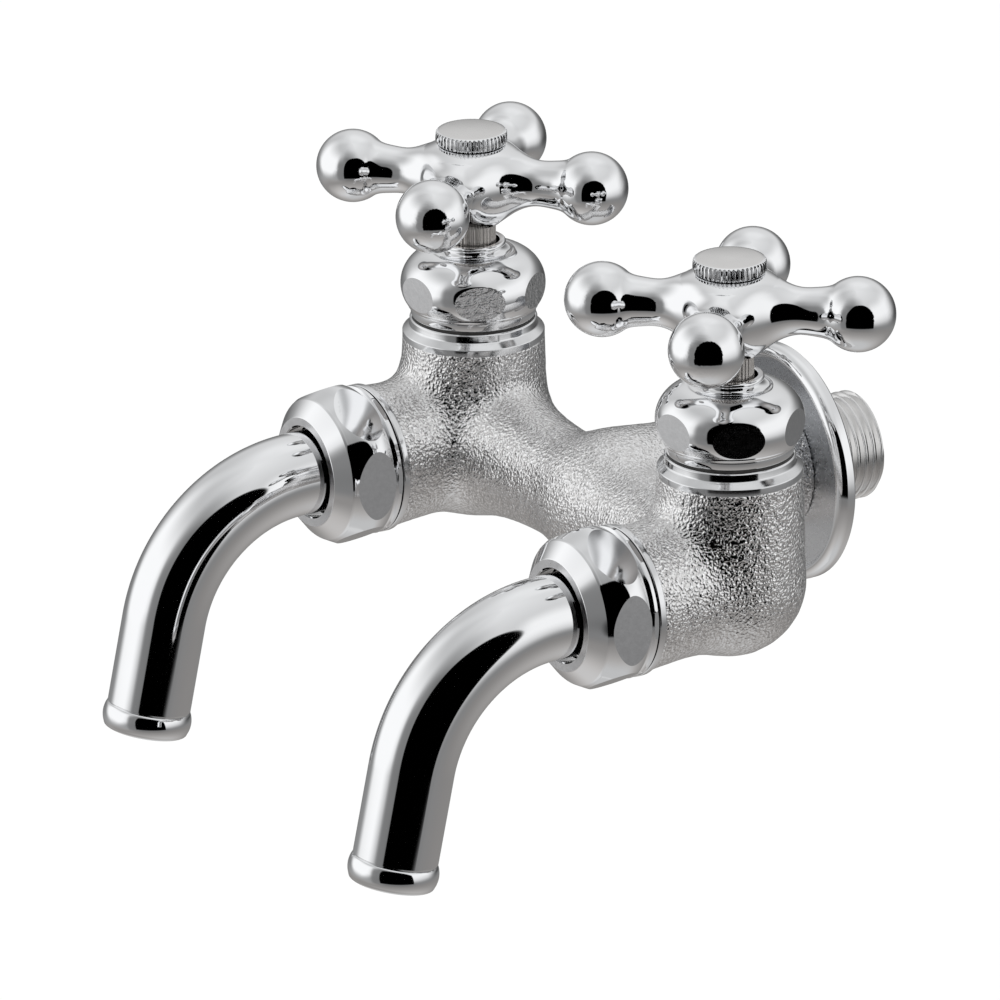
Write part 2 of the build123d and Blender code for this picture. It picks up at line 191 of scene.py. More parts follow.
def srgb(*v):
    """Linear colour of an 8-bit display colour."""
    out = []
    for x in v:
        x = x / 255.0
        out.append(x / 12.92 if x <= 0.04045 else ((x + 0.055) / 1.055) ** 2.4)
    return tuple(out) if len(out) > 1 else (out[0],) * 3


# ======================================================================= materials

MATS = {}


def polished_chrome(name, seed=0.0, rough=0.035, tint=(0.90, 0.905, 0.915), wave=0.00004):
    """Polished plating: faint buffing haze and a very slight long waviness."""
    m, t, b = material(name)
    vec = coords(t, loc=(seed, seed * 0.7, -seed * 1.3))
    haze = noise(t, vec, 90.0, 3.0, 0.6)
    fine = noise(t, vec, 1400.0, 2.0, 0.6)
    r = haze.line(0.3, 0.7, rough * 0.75, rough * 1.35) + fine.line(0.35, 0.65, -0.006, 0.008)
    t.links.new(r.sock, b.inputs["Roughness"])
    c = mix_color(t, haze.line(0.3, 0.7), tint, tuple(x * 0.985 for x in tint))
    t.links.new(c, b.inputs["Base Color"])
    h = noise(t, vec, 45.0, 1.0, 0.4)
    t.links.new(bump(t, h, 1.0, wave), b.inputs["Normal"])
    return m


def cast_chrome():
    """Plated pear-skin: pebbles well under a millimetre over the cast shape, with painted shade in the hollows between
    them.
    """
    m, t, b = material("cast_chrome")
    vec = coords(t)
    warp = noise(t, vec, 700.0, 2.0, 0.5)
    pebble = noise(t, vec, 1900.0, 0.5, 0.5, 0.5)
    cell = voronoi(t, vec, 1700.0, "SMOOTH_F1", 0.35)
    tiny = noise(t, vec, 2700.0, 1.0, 0.5)
    h = pebble * 1.0 + cell * -0.55 + warp * 0.6
    t.links.new(bump(t, h, 1.0, 0.00028), b.inputs["Normal"])
    r = pebble.line(0.35, 0.7, 0.052, 0.030) + tiny.line(0.3, 0.7, -0.006, 0.010)
    t.links.new(r.sock, b.inputs["Roughness"])
    # painted shade: the colour is darker where the relief is low, in the hollows between the pebbles
    c = mix_color(t, h.line(0.25, 0.9), (0.72, 0.71, 0.705), (0.97, 0.97, 0.975))
    t.links.new(c, b.inputs["Base Color"])
    return m


def satin_chrome(name, rot=0.0, rough=0.30, tint=(0.80, 0.79, 0.78)):
    """Plated over a linished face: very fine parallel lines."""
    m, t, b = material(name)
    vec = coords(t, scale=(40.0, 1600.0, 40.0), rot=(0, 0, rot))
    lines = noise(t, vec, 1.0, 2.0, 0.5)
    cloud = noise(t, coords(t), 220.0, 2.0, 0.5)
    r = lines.line(0.3, 0.7, rough * 0.9, rough * 1.12)
    t.links.new(r.sock, b.inputs["Roughness"])
    c = mix_color(t, cloud.line(0.3, 0.7), tint, tuple(x * 0.95 for x in tint))
    t.links.new(c, b.inputs["Base Color"])
    t.links.new(bump(t, lines, 1.0, 0.0000025), b.inputs["Normal"])
    return m


def flat_chrome(name, rough=0.24, depth=0.00008, tint=(0.84, 0.84, 0.845)):
    """Flats left as forged under the plating: small dents and a soft gloss."""
    m, t, b = material(name)
    vec = coords(t)
    dents = noise(t, vec, 900.0, 3.0, 0.6, 0.4)
    fine = noise(t, vec, 3000.0, 2.0, 0.5)
    h = dents + fine * 0.25
    t.links.new(bump(t, h, 1.0, depth), b.inputs["Normal"])
    r = dents.line(0.3, 0.7, rough * 0.85, rough * 1.2)
    t.links.new(r.sock, b.inputs["Roughness"])
    c = mix_color(t, dents.line(0.3, 0.7), tuple(x * 0.93 for x in tint), tint)
    t.links.new(c, b.inputs["Base Color"])
    return m


def recess_chrome_painted_shade():
    """Plated dish of the flange: dull, with painted shade: a darker tone than the plating, and darker still above where
    it faces the casting.
    """
    m, t, b = material("flange_recess_painted_shade")
    vec = coords(t)
    up = separate(t, vec)[2]
    n = noise(t, vec, 900.0, 3.0, 0.6)
    # painted shade: grey low on the dish, much darker on its upper part, where it faces the casting
    c = mix_color(t, up.step(-0.003, 0.001), (0.72, 0.72, 0.73), (0.47, 0.485, 0.51))
    t.links.new(c, b.inputs["Base Color"])
    r = n.line(0.3, 0.7, 0.24, 0.34)
    t.links.new(r.sock, b.inputs["Roughness"])
    t.links.new(bump(t, n, 1.0, 0.00002), b.inputs["Normal"])
    return m


def turned_metal(name, tint, rough, axis=2, lines_per_m=5200.0, depth=0.000006):
    """Turned face: fine rings along one axis, with a little stain."""
    m, t, b = material(name)
    scale = [35.0, 35.0, 35.0]
    scale[axis] = lines_per_m
    vec = coords(t, scale=tuple(scale))
    lines = noise(t, vec, 1.0, 2.0, 0.6)
    stain = noise(t, coords(t), 160.0, 3.0, 0.6)
    r = lines.line(0.3, 0.7, rough * 0.8, rough * 1.3)
    t.links.new(r.sock, b.inputs["Roughness"])
    c = mix_color(t, stain.line(0.3, 0.7), tint, tuple(x * 0.86 for x in tint))
    t.links.new(c, b.inputs["Base Color"])
    t.links.new(bump(t, lines, 1.0, depth), b.inputs["Normal"])
    return m


def rubber(name, tint=(0.022, 0.021, 0.020), rough=0.55):
    m, t, b = material(name, metallic=0.0)
    vec = coords(t)
    dust = noise(t, vec, 500.0, 4.0, 0.65)
    c = mix_color(t, dust.line(0.35, 0.75), tint, tuple(x * 1.7 for x in tint))
    t.links.new(c, b.inputs["Base Color"])
    r = dust.line(0.3, 0.7, rough * 0.85, rough * 1.15)
    t.links.new(r.sock, b.inputs["Roughness"])
    t.links.new(bump(t, noise(t, vec, 2600.0, 2.0, 0.6), 1.0, 0.00002), b.inputs["Normal"])
    return m


def resin(name, tint=(0.30, 0.31, 0.32)):
    m, t, b = material(name, metallic=0.0)
    vec = coords(t)
    n = noise(t, vec, 900.0, 3.0, 0.6)
    c = mix_color(t, n.line(0.3, 0.7), tint, tuple(x * 0.9 for x in tint))
    t.links.new(c, b.inputs["Base Color"])
    r = n.line(0.3, 0.7, 0.36, 0.46)
    t.links.new(r.sock, b.inputs["Roughness"])
    t.links.new(bump(t, n, 1.0, 0.00001), b.inputs["Normal"])
    return m


MATS["cast"] = cast_chrome()
MATS["chrome"] = polished_chrome("polished_chrome")
MATS["chrome_pipe"] = polished_chrome("polished_pipe", 0.31, 0.045)
MATS["chrome_ball"] = polished_chrome("polished_handle", 0.77, 0.03)
MATS["chrome_turned"] = turned_metal("turned_chrome_upright", (0.88, 0.885, 0.895), 0.10, 2)
MATS["chrome_turned_y"] = turned_metal("turned_chrome_forward", (0.88, 0.885, 0.895), 0.10, 1)
MATS["satin_left"] = satin_chrome("satin_chrome_left", radians(-20), 0.17)
MATS["satin_right"] = satin_chrome("satin_chrome_right", radians(35), 0.13)
MATS["knurl"] = polished_chrome("knurled_rim", 0.5, 0.11)
MATS["recess"] = recess_chrome_painted_shade()
MATS["stem"] = turned_metal("brushed_stem", (0.70, 0.67, 0.64), 0.42, 2)
MATS["flat_left"] = flat_chrome("forged_flats", 0.10, 0.00022, (0.88, 0.88, 0.885))
MATS["flat_right"] = flat_chrome("smooth_flats", 0.09, 0.000012, (0.86, 0.86, 0.87))
MATS["flat_front"] = flat_chrome("satin_flats", 0.10, 0.00001, (0.86, 0.86, 0.87))
MATS["nut_face"] = flat_chrome("nut_end_face", 0.32, 0.000008, (0.80, 0.80, 0.81))
MATS["brass"] = turned_metal("brass", (0.80, 0.60, 0.30), 0.24, 2)
MATS["stainless"] = turned_metal("stainless", (0.62, 0.61, 0.60), 0.22, 1)
MATS["rubber"] = rubber("black_rubber")
MATS["resin"] = resin("grey_resin")
MATS["thread"] = turned_metal("plated_thread", (0.86, 0.855, 0.85), 0.14, 1)


# ======================================================================= mesh tools


def make_mesh(name, verts, faces, mat, body, replaces=(), sharp=None, normals=None):
    """verts in mm; faces either an (n,4)/(n,3) array or a list of index tuples."""
    me = bpy.data.meshes.new(name)
    v = np.asarray(verts, np.float32) / 1000.0
    if isinstance(faces, np.ndarray):
        k = faces.shape[1]
        me.vertices.add(len(v))
        me.vertices.foreach_set("co", v.ravel())
        me.loops.add(faces.size)
        me.loops.foreach_set("vertex_index", faces.astype(np.int32).ravel())
        me.polygons.add(len(faces))
        me.polygons.foreach_set("loop_start", np.arange(0, faces.size, k, dtype=np.int32))
        me.update(calc_edges=True)
        me.validate()
    else:
        me.from_pydata([tuple(p) for p in v], [], faces)
        me.update()
    me.polygons.foreach_set("use_smooth", np.ones(len(me.polygons), dtype=bool))
    if sharp is not None:
        me.set_sharp_from_angle(angle=radians(sharp))
    if normals is not None:
        me.normals_split_custom_set_from_vertices([tuple(n) for n in np.asarray(normals, float)])
    ob = bpy.data.objects.new(name, me)
    bpy.context.scene.collection.objects.link(ob)
    me.materials.append(mat)
    if body is not None:
        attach(ob, body)
        if replaces:
            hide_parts(*replaces)
    return ob


def arc(c, r, a0, a1, n=12):
    """Points of an arc, angles in degrees, as (u, v)."""
    a = np.radians(np.linspace(a0, a1, n))
    return [(c[0] + r * cos(t), c[1] + r * sin(t)) for t in a]


def arc3(p0, p1, p2, n=12):
    """Points of the arc from p0 through p1 to p2."""
    (ax, ay), (bx, by), (cx, cy) = p0, p1, p2
    d = 2 * (ax * (by - cy) + bx * (cy - ay) + cx * (ay - by))
    ux = ((ax ** 2 + ay ** 2) * (by - cy) + (bx ** 2 + by ** 2) * (cy - ay) + (cx ** 2 + cy ** 2) * (ay - by)) / d
    uy = ((ax ** 2 + ay ** 2) * (cx - bx) + (bx ** 2 + by ** 2) * (ax - cx) + (cx ** 2 + cy ** 2) * (bx - ax)) / d
    r = sqrt((ax - ux) ** 2 + (ay - uy) ** 2)
    a0, am, a1 = (atan2(y - uy, x - ux) for x, y in (p0, p1, p2))
    while am < a0: am += 2 * pi
    while a1 < a0: a1 += 2 * pi
    if am > a1:
        a1 -= 2 * pi
    return [(ux + r * cos(t), uy + r * sin(t)) for t in np.linspace(a0, a1, n)]


def spline(points, n=8, t0=None, t1=None):
    """Cubic through the points (n pieces between each two), optional end tangents."""
    p = np.array(points, float)
    seg = np.sqrt(((p[1:] - p[:-1]) ** 2).sum(1))
    s = np.concatenate([[0], np.cumsum(seg)])
    m = len(p)
    A = np.zeros((m, m))
    B = np.zeros((m, 2))
    for i in range(1, m - 1):
        h0, h1 = s[i] - s[i - 1], s[i + 1] - s[i]
        A[i, i - 1], A[i, i], A[i, i + 1] = h1, 2 * (h0 + h1), h0
        B[i] = 3 * (h1 * (p[i] - p[i - 1]) / h0 + h0 * (p[i + 1] - p[i]) / h1)
    if t0 is None:
        A[0, 0], A[0, 1] = 2, 1
        B[0] = 3 * (p[1] - p[0]) / seg[0]
    else:
        A[0, 0] = 1
        B[0] = np.array(t0, float) / np.linalg.norm(t0)
    if t1 is None:
        A[-1, -1], A[-1, -2] = 2, 1
        B[-1] = 3 * (p[-1] - p[-2]) / seg[-1]
    else:
        A[-1, -1] = 1
        B[-1] = np.array(t1, float) / np.linalg.norm(t1)
    d = np.linalg.solve(A, B)
    out = []
    for i in range(m - 1):
        h = seg[i]
        for t in np.linspace(0, 1, n, endpoint=False):
            out.append(tuple(
                (2 * t ** 3 - 3 * t ** 2 + 1) * p[i] + (t ** 3 - 2 * t ** 2 + t) * h * d[i]
                + (-2 * t ** 3 + 3 * t ** 2) * p[i + 1] + (t ** 3 - t ** 2) * h * d[i + 1]))
    out.append(tuple(p[-1]))
    return out


def soften(poly, radius=0.12, steps=3, angle=25.0, closed=True, keep=()):
    """Rounds the corners of a profile that turn by more than angle."""
    p = [np.array(q, float) for q in poly]
    n = len(p)
    out = []
    for i in range(n):
        if not closed and i in (0, n - 1):
            out.append(tuple(p[i]))
            continue
        a, b, c = p[i - 1], p[i], p[(i + 1) % n]
        u, w = a - b, c - b
        lu, lw = np.linalg.norm(u), np.linalg.norm(w)
        if lu < 1e-9 or lw < 1e-9:
            continue
        u, w = u / lu, w / lw
        turn = degrees(acos(max(-1, min(1, float(-u @ w)))))
        if turn < angle or i in keep or abs(b[0]) < 1e-6:
            out.append(tuple(b))
            continue
        cut = min(radius * tan(radians(turn) / 2), 0.45 * lu, 0.45 * lw)
        for t in np.linspace(0, 1, steps + 1):
            q = (1 - t) ** 2 * (b + u * cut) + 2 * t * (1 - t) * b + t ** 2 * (b + w * cut)
            out.append(tuple(q))
    return out


UP = lambda x, z=0.0: (np.array([x, YV, z]), np.array([1., 0, 0]), np.array([0., 1, 0]), np.array([0., 0, 1]))
FORWARD = lambda x, y=YV: (np.array([x, y, 0.]), np.array([1., 0, 0]), np.array([0., 0, 1]), np.array([0., -1, 0]))


def lathe_arrays(profile, axis, n=160):
    """Closed profile of (r, h) turned about axis; corners at r=0 become one point."""
    o, e1, e2, e3 = axis
    ang = np.linspace(0, 2 * pi, n, endpoint=False)
    ring = np.cos(ang)[:, None] * e1 + np.sin(ang)[:, None] * e2
    verts, idx = [], []
    count = 0
    for r, h in profile:
        if abs(r) < 1e-6:
            verts.append((o + h * e3)[None])
            idx.append(np.full(n, count))
            count += 1
        else:
            verts.append(o + h * e3 + r * ring)
            idx.append(np.arange(count, count + n))
            count += n
    faces = []
    m = len(profile)
    for i in range(m):
        a, b = idx[i], idx[(i + 1) % m]
        pa, pb = abs(profile[i][0]) < 1e-6, abs(profile[(i + 1) % m][0]) < 1e-6
        if pa and pb:
            continue
        a2, b2 = np.roll(a, -1), np.roll(b, -1)
        if pa:
            faces += [(int(a[j]), int(b[j]), int(b2[j])) for j in range(n)]
        elif pb:
            faces += [(int(a[j]), int(b[j]), int(a2[j])) for j in range(n)]
        else:
            faces += [(int(a[j]), int(b[j]), int(b2[j]), int(a2[j])) for j in range(n)]
    v = np.concatenate(verts)
    if signed_volume(v, faces) < 0:
        faces = [tuple(reversed(f)) for f in faces]
    return v, faces


def signed_volume(v, faces):
    total = 0.0
    quads = np.array([f if len(f) == 4 else (f[0], f[1], f[2], f[2]) for f in faces])
    a, b, c, d = (v[quads[:, i]] for i in range(4))
    total = (np.einsum("ij,ij->i", a, np.cross(b, c)) + np.einsum("ij,ij->i", a, np.cross(c, d))).sum()
    return total


def lathe(name, profile, axis, mat, body, replaces=(), n=160, sharp=28.0):
    v, f = lathe_arrays(profile, axis, n)
    return settle(make_mesh(name, v, f, mat, body, replaces, sharp))


def settle(ob):
    """Normals weighted by face area, so wide flat bands stay flat beside small rounded edges."""
    mod = ob.modifiers.new("weigh", "WEIGHTED_NORMAL")
    mod.mode = "FACE_AREA"
    mod.weight = 50
    mod.keep_sharp = True
    bpy.context.view_layer.update()
    me = bpy.data.meshes.new_from_object(ob.evaluated_get(bpy.context.evaluated_depsgraph_get()))
    old = ob.data
    ob.modifiers.clear()
    ob.data = me
    bpy.data.meshes.remove(old)
    return ob


# ---------------------------------------------------------------- distance fields


def profile_table(poly, rmax, hmin, hmax, step=0.1):
    """Signed distance to a closed (r, h) outline, on a grid: negative inside."""
    p = np.array(poly, float)
    q = np.roll(p, -1, axis=0)
    r = np.arange(-2.0, rmax + step, step)
    h = np.arange(hmin, hmax + step, step)
    R, H = np.meshgrid(np.abs(r), h, indexing="ij")
    best = np.full(R.shape, 1e9)
    inside = np.zeros(R.shape, bool)
    for (ax, ay), (bx, by) in zip(p, q):
        ex, ey = bx - ax, by - ay
        L = ex * ex + ey * ey
        if L < 1e-12:
            continue
        if not (abs(ax) < 1e-6 and abs(bx) < 1e-6):   # the axis itself isn't an edge
            t = np.clip(((R - ax) * ex + (H - ay) * ey) / L, 0, 1)
            best = np.minimum(best, (R - ax - t * ex) ** 2 + (H - ay - t * ey) ** 2)
        cross = (ay > H) != (by > H)
        if abs(by - ay) > 1e-12:
            xi = (bx - ax) * (H - ay) / (by - ay) + ax
            inside ^= cross & (R < xi)
    d = np.sqrt(best)
    d[inside] *= -1
    return (d.astype(np.float32), -2.0, hmin, step)


def look(table, r, h):
    """Bilinear reading of a profile table."""
    d, r0, h0, step = table
    u = np.clip((r - r0) / step, 0, d.shape[0] - 1.001)
    w = np.clip((h - h0) / step, 0, d.shape[1] - 1.001)
    i, j = u.astype(np.int32), w.astype(np.int32)
    fu, fw = u - i, w - j
    return ((d[i, j] * (1 - fu) + d[i + 1, j] * fu) * (1 - fw)
            + (d[i, j + 1] * (1 - fu) + d[i + 1, j + 1] * fu) * fw)


def smin(a, b, k):
    """Smooth union with a fillet of about k."""
    h = np.maximum(k - np.abs(a - b), 0.0) / k
    return np.minimum(a, b) - h * h * h * k / 6.0


CORNERS = np.array([(i, j, k) for i in (0, 1) for j in (0, 1) for k in (0, 1)])
EDGES = [(a, b) for a in range(8) for b in range(a + 1, 8) if np.abs(CORNERS[a] - CORNERS[b]).sum() == 1]


def surface(field, lo, hi, h, rounds=3):
    """Quads of the zero surface of field(x, y, z): surface nets, then pulled onto the surface."""
    ax = [np.arange(lo[i], hi[i] + h, h, dtype=np.float32) for i in range(3)]
    D = np.empty([len(a) for a in ax], np.float32)
    Y, Z = np.meshgrid(ax[1], ax[2], indexing="ij")
    for i0 in range(0, len(ax[0]), 24):
        xs = ax[0][i0:i0 + 24]
        X = np.broadcast_to(xs[:, None, None], (len(xs), *Y.shape))
        D[i0:i0 + 24] = field(X, np.broadcast_to(Y, X.shape), np.broadcast_to(Z, X.shape))
    S = D < 0
    cnt = np.zeros([n - 1 for n in D.shape], np.uint8)
    for c in CORNERS:
        cnt += S[c[0]:S.shape[0] - 1 + c[0], c[1]:S.shape[1] - 1 + c[1], c[2]:S.shape[2] - 1 + c[2]]
    cells = np.argwhere((cnt > 0) & (cnt < 8))
    index = np.full(cnt.shape, -1, np.int32)
    index[tuple(cells.T)] = np.arange(len(cells))
    vals = np.stack([D[tuple((cells + c).T)] for c in CORNERS], 1)
    pos = np.zeros((len(cells), 3))
    num = np.zeros(len(cells))
    for a, b in EDGES:
        da, db = vals[:, a], vals[:, b]
        hit = (da < 0) != (db < 0)
        t = np.where(hit, da / np.where(hit, da - db, 1), 0)
        pos += hit[:, None] * (CORNERS[a] + t[:, None] * (CORNERS[b] - CORNERS[a]))
        num += hit
    verts = np.array(lo) + (cells + pos / num[:, None]) * h
    quads = []
    for axis in range(3):
        o1, o2 = [(1, 2), (2, 0), (0, 1)][axis]
        sl0 = [slice(None)] * 3
        sl1 = [slice(None)] * 3
        sl0[axis], sl1[axis] = slice(0, -1), slice(1, None)
        a, b = S[tuple(sl0)], S[tuple(sl1)]
        for flip, where in ((False, a & ~b), (True, ~a & b)):
            e = np.argwhere(where)
            e = e[(e[:, o1] > 0) & (e[:, o2] > 0)]
            if not len(e):
                continue
            d1, d2 = np.zeros(3, int), np.zeros(3, int)
            d1[o1], d2[o2] = 1, 1
            q = np.stack([index[tuple((e - d1 - d2).T)], index[tuple((e - d2).T)], index[tuple(e.T)], index[tuple((e - d1).T)]], 1)
            quads.append(q[:, ::-1] if flip else q)
    quads = np.concatenate(quads)
    quads = quads[(quads >= 0).all(1)]
    for _ in range(rounds):
        d, g = gradient(field, verts)
        verts = verts - np.clip(d, -h, h)[:, None] * g
    _, g = gradient(field, verts)
    return verts, quads, g


def gradient(field, v, e=0.05):
    x, y, z = v.T
    d = field(x, y, z)
    g = np.stack([
        field(x + e, y, z) - field(x - e, y, z),
        field(x, y + e, z) - field(x, y - e, z),
        field(x, y, z + e) - field(x, y, z - e)], 1).astype(float) / (2 * e)
    n = np.linalg.norm(g, axis=1)
    g = g / np.maximum(n, 1e-6)[:, None]
    return d / np.maximum(n, 0.3), g


# ================================================================== camera and stage


def photo_camera():
    az, el, roll = radians(58.149), radians(20.843), radians(-0.595)
    f, u0, v0, d0 = 10500.0, 284.946, 40.483, 2012.146
    fwd = Vector((-sin(az) * cos(el), cos(az) * cos(el), -sin(el)))
    right = Vector((cos(az), sin(az), 0))
    up = right.cross(fwd)
    r2 = right * cos(roll) + up * sin(roll)
    u2 = -right * sin(roll) + up * cos(roll)
    c = -(u0 * d0 / f) * r2 - (v0 * d0 / f) * u2 - d0 * fwd
    c -= Vector((0, 1, 0))
    cam = bpy.data.cameras.new("camera")
    cam.sensor_width = 36.0
    cam.lens = 378.0
    cam.clip_start, cam.clip_end = 0.05, 60.0
    ob = bpy.data.objects.new("camera", cam)
    m = Matrix((r2, u2, -fwd)).transposed().to_4x4()
    m.translation = c / 1000.0
    ob.matrix_world = m
    bpy.context.scene.collection.objects.link(ob)
    bpy.context.scene.camera = ob


photo_camera()

C_AZ = radians(58.149)
TOWARD = Vector((sin(C_AZ), -cos(C_AZ), 0))      # level direction of the camera, seen from the tap
ASIDE = Vector((cos(C_AZ), sin(C_AZ), 0))        # level direction to the right in the photograph's view


def studio():
    """White world, pale floor, and a light tent seen only in reflections: two soft
    boxes, a dark arched opening on the camera's side, a grey table below."""
    w = bpy.data.worlds.new("studio")
    bpy.context.scene.world = w
    w.use_nodes = True
    w.node_tree.nodes["Background"].inputs[0].default_value = (1, 1, 1, 1)
    w.node_tree.nodes["Background"].inputs[1].default_value = 1.06

    # floor
    me = bpy.data.meshes.new("floor")
    s = 6.0
    me.from_pydata([(-s, -s, -0.32), (s, -s, -0.32), (s, s, -0.32), (-s, s, -0.32)], [], [(0, 1, 2, 3)])
    floor = bpy.data.objects.new("floor", me)
    bpy.context.scene.collection.objects.link(floor)
    m, t, b = material("pale_floor", (0.96, 0.96, 0.96), 0.0, 0.9)
    n = noise(t, coords(t), 3.0, 2.0, 0.5)
    c = mix_color(t, n.line(0.3, 0.7), (0.965, 0.965, 0.965), (0.955, 0.955, 0.955))
    t.links.new(c, b.inputs["Base Color"])
    b.inputs["Specular IOR Level"].default_value = 0.0
    me.materials.append(m)
    floor.visible_glossy = False

    # tent
    me = bpy.data.meshes.new("tent")
    rows, cols = 24, 48
    c0 = Vector((0.0, -0.055, 0.022))
    R = 0.85
    pts = [c0 + Vector((0, 0, R))]
    for i in range(1, rows):
        e = pi / 2 - pi * i / rows
        for j in range(cols):
            a = 2 * pi * j / cols
            pts.append(c0 + R * Vector((cos(e) * cos(a), cos(e) * sin(a), sin(e))))
    pts.append(c0 - Vector((0, 0, R)))
    fs = [(0, 1 + (j + 1) % cols, 1 + j) for j in range(cols)]
    for i in range(rows - 2):
        for j in range(cols):
            a, b2 = 1 + i * cols + j, 1 + i * cols + (j + 1) % cols
            fs.append((a, b2, b2 + cols, a + cols))
    last = len(pts) - 1
    fs += [(last, last - cols + j, last - cols + (j + 1) % cols) for j in range(cols)]
    me.from_pydata([tuple(p) for p in pts], [], fs)
    tent = bpy.data.objects.new("tent", me)
    bpy.context.scene.collection.objects.link(tent)
    m = bpy.data.materials.new("tent")
    m.use_nodes = True
    t = m.node_tree
    t.nodes.clear()
    geo = t.nodes.new("ShaderNodeNewGeometry")
    sub = t.nodes.new("ShaderNodeVectorMath")
    sub.operation = "SUBTRACT"
    t.links.new(geo.outputs["Position"], sub.inputs[0])
    sub.inputs[1].default_value = tuple(c0)
    nrm = t.nodes.new("ShaderNodeVectorMath")
    nrm.operation = "NORMALIZE"
    t.links.new(sub.outputs[0], nrm.inputs[0])
    x, y, z = separate(t, nrm.outputs[0])
    fwd = x * TOWARD.x + y * TOWARD.y
    side = x * ASIDE.x + y * ASIDE.y
    az = side.atan2(fwd) * (180 / pi)          # 0 at the camera, + to its right
    el = z.asin() * (180 / pi)

    # brightness is worked out as a display value and turned into light at the end
    aa = az.abs()
    # overhead panel, dimmer on the left
    over = (el + (az + 70).abs().step(100, 30) * -14.0).line(40, 90, 0.80, 0.885)
    over = over - (az + 70).abs().step(90, 25) * el.step(90, 62) * 0.07 - el.step(10, -20) * 0.12
    # wall behind the tap, darker towards the table and on its left
    rear = el.step(-22, 22, 0.44, 0.74) + el.step(30, 80) * 0.12
    rear = rear + (az.step(100, 150) + az.step(-140, -178)) * (el.step(2, 34) * 0.09)
    wall = aa.step(100, 142) * (rear - over) * el.step(86, 50) + over
    # front of the tent, above the opening
    front = (az + 17).abs().step(50, 2) * (el.step(74, 48) * 0.175 + el.step(52, 36) * 0.14)
    wall = wall - front
    # table, with the far edge in shade
    glow = (az + 90).abs().step(75, 20)
    table = el.step(-24, -78, 0.50, 0.735) + glow * el.step(-34, -54) * 0.065
    table = table - (az - 5).abs().step(60, 20) * el.step(-38, -26) * 0.05 + glow * el.step(-40, -26) * 0.10
    V = wall + (table - wall) * el.step(-8, -24)
    # soft boxes
    lf = ((az + 92).abs() + (2 - el).max(0.0) * 0.9).step(54, 24) * (el - 8).step(52, 14) * (el - 8).step(-38, -14)
    V = V + (0.978 - V) * lf
    rf = (az - 72).step(80, 16) * (az - 72).step(-34, -22) * (el - 14).step(34, 6) * (el - 14).step(-38, -4)
    V = V + (0.945 - V) * rf
    # dim stretch of wall behind the tap, low down
    low = (el + 2).abs().step(26, 8)
    V = V - low * (az.step(88, 138) * (az.step(150, 178) * -0.105 + 0.21) + (az * -1.0).step(138, 170) * 0.105)
    # opening with a rounded head, and the dim strip beside it
    up = (el - 5).max(0.0) / 40.0
    wide = (az - 7).abs() / 39.5
    arch = (up.pow(2.3) + wide.pow(2.3)).step(1.07, 0.95) * el.step(-25, -20.5)
    seam = (az + 43).abs().step(15, 4) * el.step(44, 16) * el.step(-34, -22)
    V = V + (0.46 - V) * seam * 0.85
    V = V + (0.012 - V) * arch
    light = V.max(0.0).pow(2.2)
    warm = el.step(-22, -34) * el.step(-76, -52)
    tint = mix_color(t, warm, (0.992, 0.996, 1.0), (1.0, 0.965, 0.94))
    tint = mix_color(t, el.step(30, 60) * 0.5, tint, (0.985, 0.995, 1.0))
    scale = t.nodes.new("ShaderNodeVectorMath")
    scale.operation = "SCALE"
    t.links.new(tint, scale.inputs[0])
    t.links.new(light.sock, scale.inputs["Scale"])
    col = scale.outputs[0]
    em = t.nodes.new("ShaderNodeEmission")
    t.links.new(col, em.inputs["Color"])
    em.inputs["Strength"].default_value = 1.12
    out = t.nodes.new("ShaderNodeOutputMaterial")
    t.links.new(em.outputs[0], out.inputs["Surface"])
    m.cycles.emission_sampling = "NONE"
    me.materials.append(m)
    tent.visible_camera = False
    tent.visible_diffuse = False
    tent.visible_shadow = False
    tent.visible_transmission = False
    tent.visible_volume_scatter = False
    vs = bpy.context.scene.view_settings
    vs.view_transform = "Standard"
    vs.look = "None"


studio()

# ======================================================================== castings


def box_mm(node):
    a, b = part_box(node)
    return np.array(a) * 1000, np.array(b) * 1000


# the casting's own outlines, repeated as distance tables
CH_R, CH_Z = 14.15, -1.0
chamber_t = profile_table(
    [(0, CH_Z - CH_R)] + arc((0, CH_Z), CH_R, -90, 0, 24)[1:] + [(13.7, 20.75), (0, 20.75)], 40, -30, 40)
boss_t = profile_table([(0, 0), (12.6, 0), (13.0, 10), (13.3, 16), (13.95, 23.25), (0, 23.25)], 40, -20, 45)
cross_pts = spline([(-45, 13.9), (-38, 13.7), (-32.5, 12.7), (-28.6, 11.9), (-24.3, 11.25), (-17, 10.65), (0, 10.45),
                    (17, 10.65), (24.3, 11.25), (28.6, 11.9), (32.5, 12.7), (38, 13.7), (45, 13.9)], 6)
cross_t = profile_table([(0, -45)] + [(r, u) for u, r in cross_pts] + [(0, 45)], 40, -62, 62)
leg_pts = spline([(53.45, 0), (52.0, 6.4), (48.6, 10.6), (43.0, 13.2), (30.0, 12.8), (21.0, 12.5), (2.5, 12.4)], 8, (0, 1), (-1, 0))
leg_t = profile_table([(r, u) for u, r in leg_pts] + [(0, 2.5)], 40, -10, 70)


def casting_field(x, y, z):
    ax = np.abs(x)
    dx = ax - 45.0
    dy = y - YV
    ch = look(chamber_t, np.sqrt(dx * dx + dy * dy), z)
    bo = look(boss_t, np.sqrt(dx * dx + z * z), -dy)
    cr = look(cross_t, np.sqrt(dy * dy + z * z), x)
    lg = look(leg_t, np.sqrt(x * x + z * z), -y)
    # the fillet between chamber and boss is fullest on top
    k = 5.0 + 4.0 * np.clip((z - 4.0) / 8.0, 0, 1)
    d = smin(ch, bo, k)
    d = smin(d, cr, 4.5)
    d = smin(d, lg, 5.0)
    # flat ends where the machined faces begin
    d = np.maximum(d, z - 20.75)
    d = np.maximum(d, -dy - 23.25)
    d = np.maximum(d, y + 2.5)
    return d


